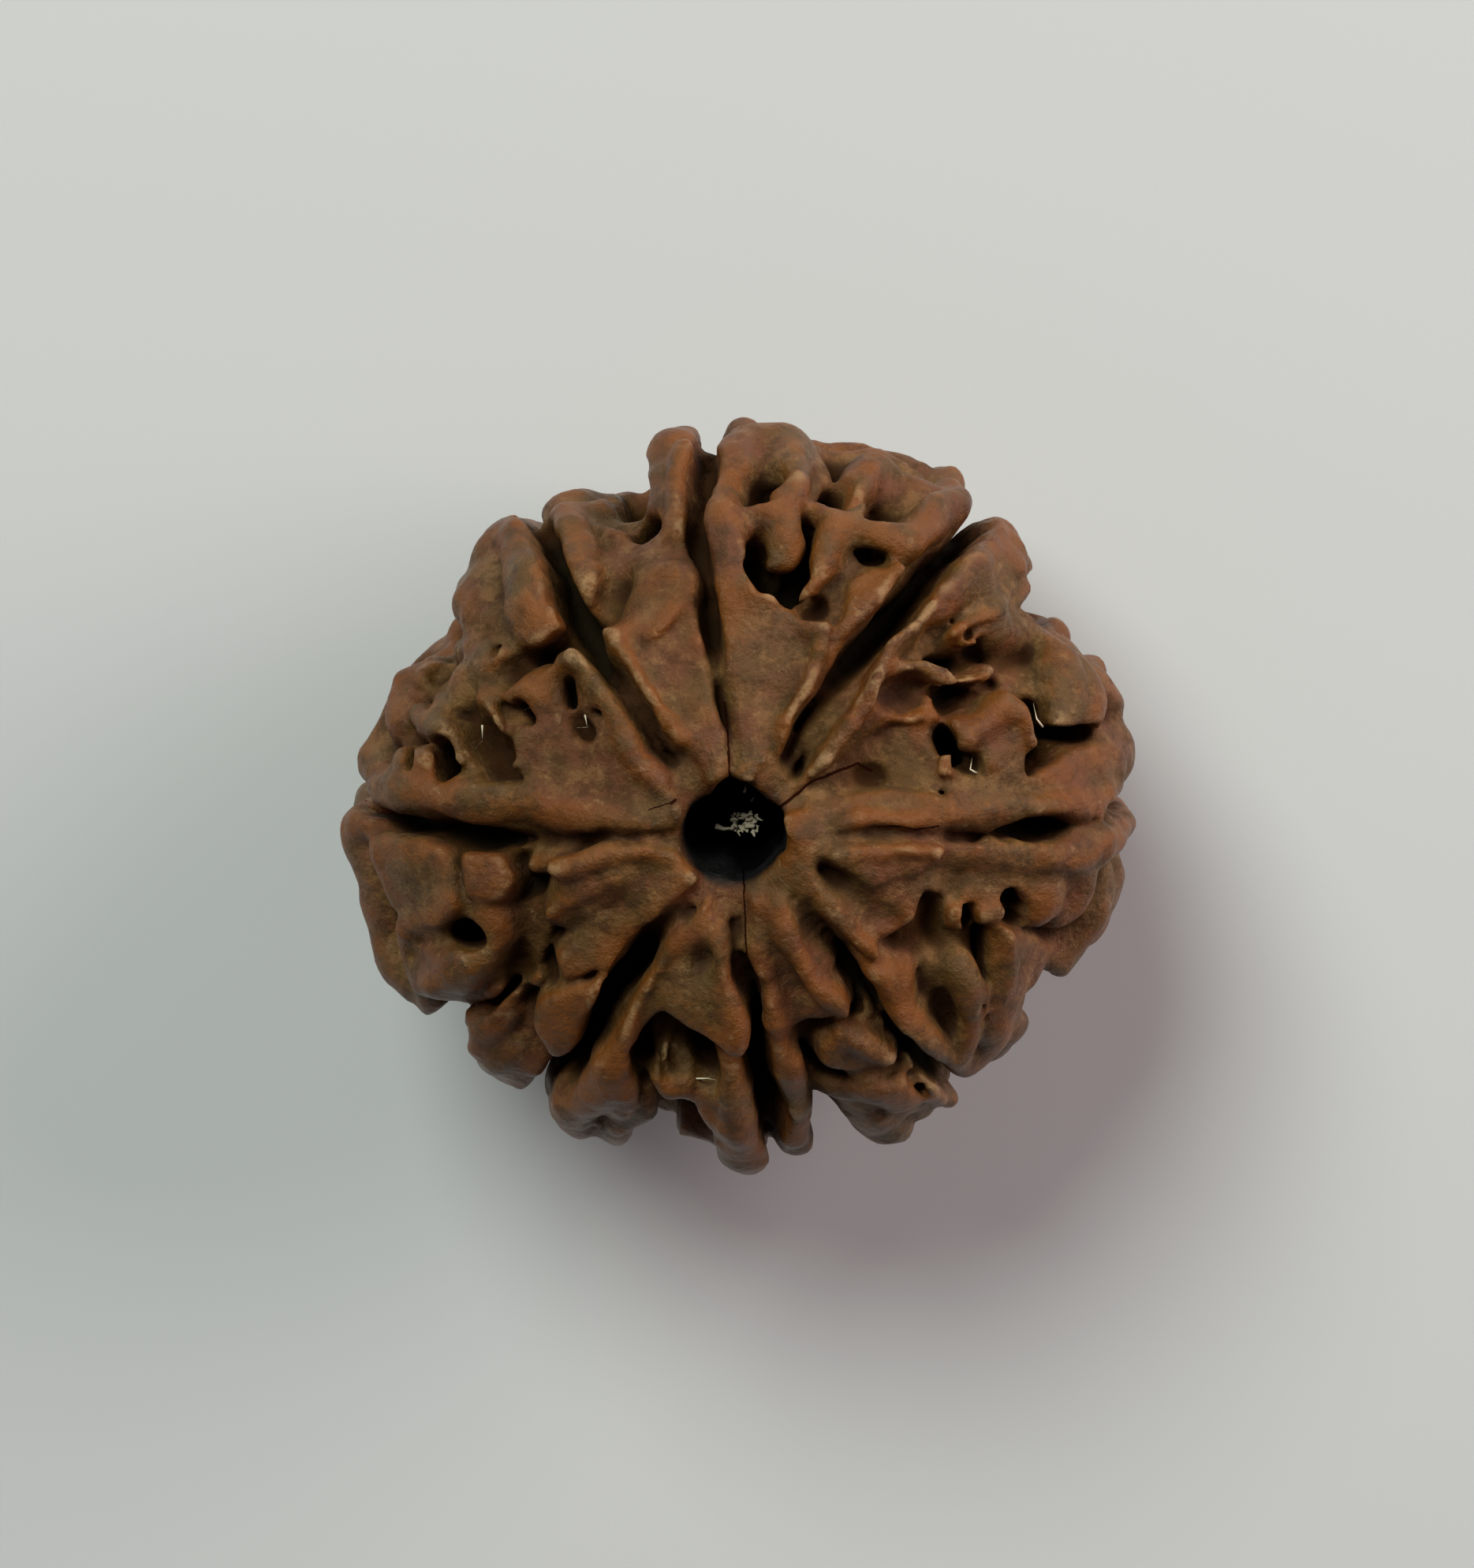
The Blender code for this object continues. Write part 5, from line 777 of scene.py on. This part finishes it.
def skin(clay):
    """Closed quads round the solid, with one corner in each cell that the surface crosses."""
    distance = clay.distance
    solid = distance < 0
    fill_corners(solid)
    least = 0.02 * clay.cell
    distance = np.where(solid, np.minimum(distance, -least), np.maximum(distance, least))
    counts = np.array(solid.shape)
    corners = [solid[i:counts[0] - 1 + i, j:counts[1] - 1 + j, k:counts[2] - 1 + k]
               for i in (0, 1) for j in (0, 1) for k in (0, 1)]
    total = sum(corner.astype(np.int8) for corner in corners)
    cells = np.argwhere((total > 0) & (total < 8))
    number = np.full(total.shape, -1)
    number[tuple(cells.T)] = np.arange(len(cells))
    summed, hits = np.zeros((len(cells), 3)), np.zeros(len(cells))
    steps = np.eye(3, dtype=int)
    for axis in range(3):
        one, two = steps[(axis + 1) % 3], steps[(axis + 2) % 3]
        for i, j in ((0, 0), (0, 1), (1, 0), (1, 1)):
            base = i * one + j * two
            near = distance[tuple((cells + base).T)]
            far = distance[tuple((cells + base + steps[axis]).T)]
            hit = (near < 0) != (far < 0)
            share = np.where(hit, near / np.where(hit, near - far, 1), 0)
            summed += (base + share[:, None] * steps[axis]) * hit[:, None]
            hits += hit
    points = clay.low + clay.cell * (cells + summed / hits[:, None])
    quads = []
    for axis in range(3):
        one, two = steps[(axis + 1) % 3], steps[(axis + 2) % 3]
        near = solid[tuple(slice(0, n - s) for n, s in zip(counts, steps[axis]))]
        far = solid[tuple(slice(s, n) for n, s in zip(counts, steps[axis]))]
        for outward in (True, False):
            edge = np.argwhere(near & ~far if outward else far & ~near)
            ring = [edge, edge - one, edge - one - two, edge - two]
            quad = np.stack([number[tuple(cell.T)] for cell in ring], axis=1)
            quads.append(quad if outward else quad[:, ::-1])
    return points, np.concatenate(quads)


def largest_piece(points, quads):
    """The outer skin alone, without sealed hollows and loose scraps."""
    label = np.arange(len(points))
    while True:
        lowest = label[quads].min(axis=1)
        spread = label.copy()
        for column in quads.T:
            np.minimum.at(spread, column, lowest)
        spread = spread[spread]
        if (spread == label).all():
            break
        label = spread
    names, sizes = np.unique(label[quads[:, 0]], return_counts=True)
    kept = quads[label[quads[:, 0]] == names[sizes.argmax()]]
    used, renumbered = np.unique(kept, return_inverse=True)
    return points[used], renumbered.reshape(kept.shape)


def lumps(coordinates, size, seed):
    """Soft seeded lumps of about one size at a grid's coordinates, from about -1 to 1."""
    draw = np.random.default_rng(seed)
    starts = [axis / size - axis.min() / size for axis in coordinates]
    values = draw.uniform(-1, 1, [int(start.max()) + 2 for start in starts]).astype(np.float32)
    for number, start in enumerate(starts):
        cell = start.astype(int)
        share = (start - cell).astype(np.float32)
        share = share * share * (3 - 2 * share)
        shape = [1, 1, 1]
        shape[number] = -1
        share = share.reshape(shape)
        values = np.take(values, cell, number) * (1 - share) + np.take(values, cell + 1, number) * share
    return values


def weather(clay):
    """The small unevenness of a grown surface."""
    for size, height, seed in SURFACE_LUMPS:
        clay.distance += height * lumps(clay.axes, size, seed)


def wander(points):
    """Points moved along soft seeded bends, but not at the foot."""
    firm = np.clip(points[:, 2:] / 1.5, 0, 1)
    for size, reach, seed in WANDERING:
        draw = np.random.default_rng(seed)
        lattice = draw.uniform(-1, 1, [3] + [int(40 / size) + 2] * 3)
        place = (points + 18) / size
        base = place.astype(int)
        share = place - base
        eased = base + share * share * (3 - 2 * share)
        moves = [read_grid(values, np.zeros(3), 1, eased) for values in lattice]
        points = points + reach * firm * np.stack(moves, axis=1)
    return points


def blur(values, reach):
    """The mean over a box that reaches so many cells each way, along each axis in turn."""
    for axis in range(3):
        margins = [(reach + 1, reach) if i == axis else (0, 0) for i in range(3)]
        padded = np.moveaxis(np.pad(values, margins), axis, 0)
        summed = np.cumsum(padded, axis=0, dtype=np.float32)
        values = np.moveaxis((summed[2 * reach + 1:] - summed[:-2 * reach - 1]) / (2 * reach + 1), 0, axis)
    return values


def read_grid(values, low, cell, points):
    """The values of a grid at points, each between its eight nearest cells."""
    place = (points - low) / cell
    base = np.clip(np.floor(place).astype(int), 0, np.array(values.shape) - 2)
    share = place - base
    result = 0
    for corner in np.ndindex(2, 2, 2):
        weight = np.prod(np.where(corner, share, 1 - share), axis=1)
        result = result + weight * values[tuple((base + corner).T)]
    return result


def enclosure(clay, points, reach_mm):
    """How much of a box round each point is solid: half on a flat, less on a crest, more in a cleft."""
    solid = (clay.distance[::2, ::2, ::2] < 0).astype(np.float32)
    cell = 2 * clay.cell
    reach = max(1, round(reach_mm / cell))
    return read_grid(blur(blur(solid, reach), reach), clay.low, cell, points)


def placed(name, data):
    """A new object in the scene that holds a mesh, camera or light."""
    made = bpy.data.objects.new(name, data)
    bpy.context.collection.objects.link(made)
    return made


def thin_out(bead, share):
    """Keeps about a share of the faces, more where the surface bends more."""
    thin = bead.modifiers.new("thin", "DECIMATE")
    thin.ratio = min(1, share)
    bpy.context.view_layer.objects.active = bead
    bead.select_set(True)
    bpy.ops.object.modifier_apply(modifier="thin")


def fine_bead():
    """The finely skinned stone, with how enclosed each of its corners is kept for the material."""
    clay = sculpt(CELL)
    weather(clay)
    clay.stand()
    points, quads = largest_piece(*skin(clay))
    mesh = bpy.data.meshes.new("bead_skin")
    mesh.from_pydata((points * MM).tolist(), [], quads.tolist())
    bead = placed("bead_skin", mesh)
    thin_out(bead, FACES_KEPT / (2 * len(quads)))
    mesh.shade_smooth()
    places = np.empty(len(mesh.vertices) * 3, np.float32)
    mesh.vertices.foreach_get("co", places)
    places = places.reshape(-1, 3) / MM
    for name, reach_mm in ENCLOSURES:
        attribute = mesh.attributes.new(name, "FLOAT", "POINT")
        attribute.data.foreach_set("value", enclosure(clay, places, reach_mm).astype(np.float32))
    mesh.vertices.foreach_set("co", (wander(places) * MM).astype(np.float32).ravel())
    mesh.materials.append(stone_material())
    return bead


class Shader:
    """A material's node tree, with short ways to add a node and to set or link its inputs."""

    def __init__(self, name):
        self.material = bpy.data.materials.new(name)
        self.material.use_nodes = True
        self.tree = self.material.node_tree
        self.surface = self.tree.nodes["Principled BSDF"]

    def put(self, target, value):
        if isinstance(value, bpy.types.NodeSocket):
            self.tree.links.new(value, target)
        else:
            target.default_value = value

    def node(self, kind, inputs, **settings):
        made = self.tree.nodes.new(kind)
        for name, value in settings.items():
            setattr(made, name, value)
        for name, value in inputs.items():
            self.put(made.inputs[name], value)
        return made

    def math(self, operation, *values):
        return self.node("ShaderNodeMath", dict(enumerate(values)), operation=operation).outputs[0]

    def times(self, *values):
        product = values[0]
        for value in values[1:]:
            product = self.math("MULTIPLY", product, value)
        return product

    def span(self, value, low, high, start=0.0, end=1.0):
        """The value's place between low and high, eased, as a number from start to end."""
        inputs = {"Value": value, "From Min": low, "From Max": high, "To Min": start, "To Max": end}
        return self.node("ShaderNodeMapRange", inputs, interpolation_type="SMOOTHSTEP").outputs["Result"]

    def noise(self, vector, scale, detail, roughness):
        inputs = {"Vector": vector, "Scale": scale, "Detail": detail, "Roughness": roughness}
        return self.node("ShaderNodeTexNoise", inputs).outputs["Fac"]

    def attribute(self, name):
        return self.node("ShaderNodeAttribute", {}, attribute_name=name).outputs["Fac"]

    def vector(self, operation, *values, output="Vector"):
        made = self.node("ShaderNodeVectorMath", dict(enumerate(values)), operation=operation)
        return made.outputs[output]

    def scaled(self, vector, factor):
        made = self.node("ShaderNodeVectorMath", {0: vector, "Scale": factor}, operation="SCALE")
        return made.outputs["Vector"]

    def flat(self, place):
        """A place seen from above, with no height."""
        return self.vector("MULTIPLY", place, (1, 1, 0))

    def height(self, place):
        return self.node("ShaderNodeSeparateXYZ", {"Vector": place}).outputs["Z"]

    def mix(self, share, first, second):
        made = self.node("ShaderNodeMix", {}, data_type="RGBA")
        for number, value in ((0, share), (6, first), (7, second)):
            self.put(made.inputs[number], value)
        return made.outputs[2]


def in_mm(shader):
    place = shader.node("ShaderNodeTexCoord", {}).outputs["Object"]
    return shader.scaled(place, 1 / MM)


def outward_streaks(shader, place):
    """Coordinates in which noise runs in streaks away from the bead's axis."""
    around = shader.vector("NORMALIZE", shader.flat(place))
    return shader.vector("ADD", shader.scaled(around, 14), shader.scaled(place, 0.25))


def stone_material():
    """The stone's browns, wear, dirt and wax, with painted shade in the hollows and painted highlights on
    edges and flecks, led by how enclosed each point is.
    """
    shader = Shader("stone")
    place = in_mm(shader)
    streaks = outward_streaks(shader, place)
    wide, close, edge = [shader.attribute(name) for name, reach in ENCLOSURES]
    # The ground in two browns, mottled tan and dull, and darker where it lies low, partly dull stone and
    # partly painted shade
    tone = shader.span(shader.noise(place, 0.35, 6.0, 0.6), 0.44, 0.6)
    colour = shader.mix(tone, OLIVE_BROWN, ROSE_BROWN)
    tan = shader.span(shader.noise(place, 0.9, 8.0, 0.72), 0.48, 0.6)
    colour = shader.mix(shader.times(tan, 0.6), colour, PALE_BROWN)
    mottle = shader.span(shader.noise(place, 1.3, 8.0, 0.72), 0.47, 0.6)
    colour = shader.mix(shader.times(mottle, 0.6), colour, DULL_BROWN)
    sunk_dull_and_shade = shader.span(wide, 0.51, 0.64)
    colour = shader.mix(shader.times(sunk_dull_and_shade, 0.85), colour, DULL_BROWN)
    # Rust on the crests, pale flecks that are partly painted highlights, and pale wear with painted highlight
    # along the sharpest edges
    crest = shader.span(close, 0.5, 0.34)
    rust = shader.times(crest, shader.span(shader.noise(place, 0.45, 8.0, 0.65), 0.4, 0.58))
    colour = shader.mix(shader.times(rust, 0.75), colour, RUST)
    pale_flecks_and_highlight = shader.span(shader.noise(place, 1.6, 8.0, 0.75), 0.57, 0.68)
    colour = shader.mix(shader.times(pale_flecks_and_highlight, 0.3), colour, PALE_WEAR_AND_HIGHLIGHT)
    rubbed = shader.span(shader.noise(place, 0.7, 6.0, 0.7), 0.45, 0.58)
    worn_edge_and_highlight = shader.times(shader.span(edge, 0.33, 0.24), rubbed)
    colour = shader.mix(shader.times(worn_edge_and_highlight, 0.6), colour, PALE_WEAR_AND_HIGHLIGHT)
    # Dirt and painted shade in creases and clefts, the cracks, and painted shade with dirt in the dark hole
    crease_dirt_and_shade = shader.span(close, 0.55, 0.74)
    colour = shader.mix(shader.times(crease_dirt_and_shade, 0.8), colour, CREASE_DIRT_AND_SHADE)
    hollow = shader.span(wide, 0.65, 0.8)
    colour = shader.mix(shader.times(hollow, 0.94), colour, CLEFT_DIRT_AND_SHADE)
    crack = cracks(shader, place)
    colour = shader.mix(crack, colour, CRACK_BROWN)
    # The thread hole painted near black, as painted shade and dirt
    colour = shader.mix(inside_hole(shader, place), colour, HOLE_SHADE_AND_DIRT)
    shader.put(shader.surface.inputs["Base Color"], colour)
    # Waxy on the crests and dry in the hollows
    gloss = shader.math("ADD", wide, shader.times(mottle, 0.12))
    shader.put(shader.surface.inputs["Roughness"], shader.span(gloss, 0.35, 0.7, 0.32, 0.8))
    shine = shader.times(shader.span(wide, 0.5, 0.66, 0.26, 0.03), shader.math("SUBTRACT", 1.0, crack))
    shader.put(shader.surface.inputs["Specular IOR Level"], shine)
    # Fine pores and faint streaks
    pores = shader.noise(place, 2.6, 7.0, 0.65)
    height = shader.math("ADD", pores, shader.times(shader.noise(streaks, 2.0, 4.0, 0.6), 0.15))
    bump = shader.node("ShaderNodeBump", {"Strength": 0.8, "Distance": 0.0002, "Height": height})
    shader.put(shader.surface.inputs["Normal"], bump.outputs["Normal"])
    return shader.material


def cracks(shader, place):
    """Full on the thin cracks near the mouth, and nothing beside them."""
    ragged = shader.node("ShaderNodeTexNoise", {"Vector": place, "Scale": 3.0, "Detail": 3.0})
    reach = (CRACK_WANDER, CRACK_WANDER, 0)
    shaken = shader.flat(shader.vector("MULTIPLY_ADD", ragged.outputs["Color"], reach, place))
    total = 0.0
    for half_width, path in CRACKS:
        for (x, y), (end_x, end_y) in zip(path, path[1:]):
            start = (x + CRACK_WANDER / 2, y + CRACK_WANDER / 2, 0)
            along = Vector((end_x - x, end_y - y, 0))
            away = shader.vector("SUBTRACT", shaken, start)
            dot = shader.vector("DOT_PRODUCT", away, along / along.length_squared, output="Value")
            share = shader.node("ShaderNodeClamp", {"Value": dot}).outputs["Result"]
            gap = shader.vector("DISTANCE", away, shader.scaled(along, share), output="Value")
            total = shader.math("MAXIMUM", total, shader.span(gap, 1.6 * half_width, 0.6 * half_width))
    above = shader.span(shader.height(place), 15.5, 16.0)
    return shader.times(total, above)


def inside_hole(shader, place):
    """Full in the thread hole, and nothing outside it."""
    radius = shader.vector("LENGTH", shader.flat(place), output="Value")
    return shader.times(shader.span(radius, 2.1, 1.8), shader.span(shader.height(place), 19.3, 18.7))


def plain_material(name, colour, roughness):
    shader = Shader(name)
    shader.put(shader.surface.inputs["Base Color"], colour)
    shader.put(shader.surface.inputs["Roughness"], roughness)
    return shader.material


def strand(points, radius):
    """Corners and faces of a thin fibre through some points, nearly pointed at its end."""
    corners, faces = [], []
    for number, point in enumerate(points):
        along = Vector(points[min(number + 1, len(points) - 1)]) - Vector(points[max(number - 1, 0)])
        side = along.orthogonal().normalized()
        other = along.cross(side).normalized()
        width = radius * (1 - 0.8 * number / (len(points) - 1))
        for step in range(STRAND_SIDES):
            turn = 2 * math.pi * step / STRAND_SIDES
            corners.append((Vector(point) + (side * math.cos(turn) + other * math.sin(turn)) * width) * MM)
    for number in range(len(points) - 1):
        ring = STRAND_SIDES * number
        for step in range(STRAND_SIDES):
            following = (step + 1) % STRAND_SIDES
            faces.append((ring + step, ring + following, ring + STRAND_SIDES + following,
                          ring + STRAND_SIDES + step))
    return corners, faces


def fibres():
    """Points of the dry pith fibres: a frayed tuft and a few bits in the hole, and hairs in some pits."""
    draw = random.Random(SEED)
    paths = []
    for number in range(TUFT_STRANDS):
        start = Vector(TUFT_PLACE) + Vector((draw.uniform(-0.5, 0.45), draw.uniform(-0.32, 0.3), 0))
        turn = draw.uniform(0, 2 * math.pi)
        reach = draw.uniform(0.12, 0.34)
        tip = start + Vector((reach * math.cos(turn), 0.6 * reach * math.sin(turn), draw.uniform(-0.1, 0.25)))
        middle = (start + tip) / 2 + Vector([draw.uniform(-0.06, 0.06) for axis in range(3)])
        paths.append(([start, middle, tip], draw.uniform(0.06, 0.12)))
    paths += [([Vector(place) for place in places], radius) for places, radius in PITH_BITS]
    for bearing, fall in HAIRY_PITS:
        course = [Vector(spot(bearing + turn, fall + drop, rise)[0]) for turn, drop, rise in HAIR]
        paths.append((course, HAIR_RADIUS))
    return paths


def pith():
    corners, faces = [], []
    for points, radius in fibres():
        more_corners, more_faces = strand(points, radius)
        faces += [tuple(corner + len(corners) for corner in face) for face in more_faces]
        corners += more_corners
    mesh = bpy.data.meshes.new("pith")
    mesh.from_pydata(corners, [], faces)
    mesh.shade_smooth()
    mesh.materials.append(plain_material("pith", PITH_COLOUR, 0.8))
    return placed("pith", mesh)


def floor():
    side = FLOOR_HALF
    mesh = bpy.data.meshes.new("floor")
    corners = [(-side, -side, 0), (side, -side, 0), (side, side, 0), (-side, side, 0)]
    mesh.from_pydata(corners, [], [(0, 1, 2, 3)])
    mesh.materials.append(plain_material("floor", FLOOR_COLOUR, 0.6))
    placed("floor", mesh)


def aimed(place, target, up):
    """A matrix at a place that looks at a target with its -Z."""
    away = (Vector(place) - Vector(target)).normalized()
    right = Vector(up).cross(away).normalized()
    turn = Matrix((right, away.cross(right), away)).transposed()
    return Matrix.Translation(place) @ turn.to_4x4()


def camera():
    tilt = math.radians(CAMERA_TILT)
    centre = Vector((0, 0, CENTRE_Z * MM))
    away = Vector((0, math.sin(tilt), math.cos(tilt)))
    made = placed("camera", bpy.data.cameras.new("camera"))
    made.matrix_world = aimed(centre + away * CAMERA_DISTANCE, centre, (0, math.cos(tilt), -math.sin(tilt)))
    made.data.sensor_fit = "VERTICAL"
    made.data.sensor_height = 36
    made.data.lens = CAMERA_LENS
    made.data.shift_y = CAMERA_SHIFT
    bpy.context.scene.camera = made


def area_light(name, place, size, watts, colour):
    light = bpy.data.lights.new(name, "AREA")
    light.shape = "DISK"
    light.size = size
    light.energy = watts
    light.color = colour
    placed(name, light).matrix_world = aimed(place, (0, 0, 0.01), (0, 1, 0))


def sky():
    world = bpy.data.worlds.new("sky")
    world.use_nodes = True
    background = world.node_tree.nodes["Background"]
    background.inputs["Color"].default_value = SKY_COLOUR
    background.inputs["Strength"].default_value = SKY_STRENGTH
    bpy.context.scene.world = world


def lighting():
    area_light("key", KEY_PLACE, KEY_SIZE, KEY_WATTS, KEY_COLOUR)
    area_light("fill", FILL_PLACE, FILL_SIZE, FILL_WATTS, FILL_COLOUR)
    sky()
    bpy.context.scene.view_settings.view_transform = "Standard"
    bpy.context.scene.view_settings.look = "None"


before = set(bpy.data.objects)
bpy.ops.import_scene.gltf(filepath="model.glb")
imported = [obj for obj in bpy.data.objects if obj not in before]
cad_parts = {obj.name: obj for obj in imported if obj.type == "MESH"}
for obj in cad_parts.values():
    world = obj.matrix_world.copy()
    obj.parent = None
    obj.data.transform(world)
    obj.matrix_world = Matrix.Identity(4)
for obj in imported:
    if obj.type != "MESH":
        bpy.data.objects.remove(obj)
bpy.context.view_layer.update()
bead = fine_bead()
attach(bead, "root")
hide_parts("bead")
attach(pith(), "root")
floor()
camera()
lighting()
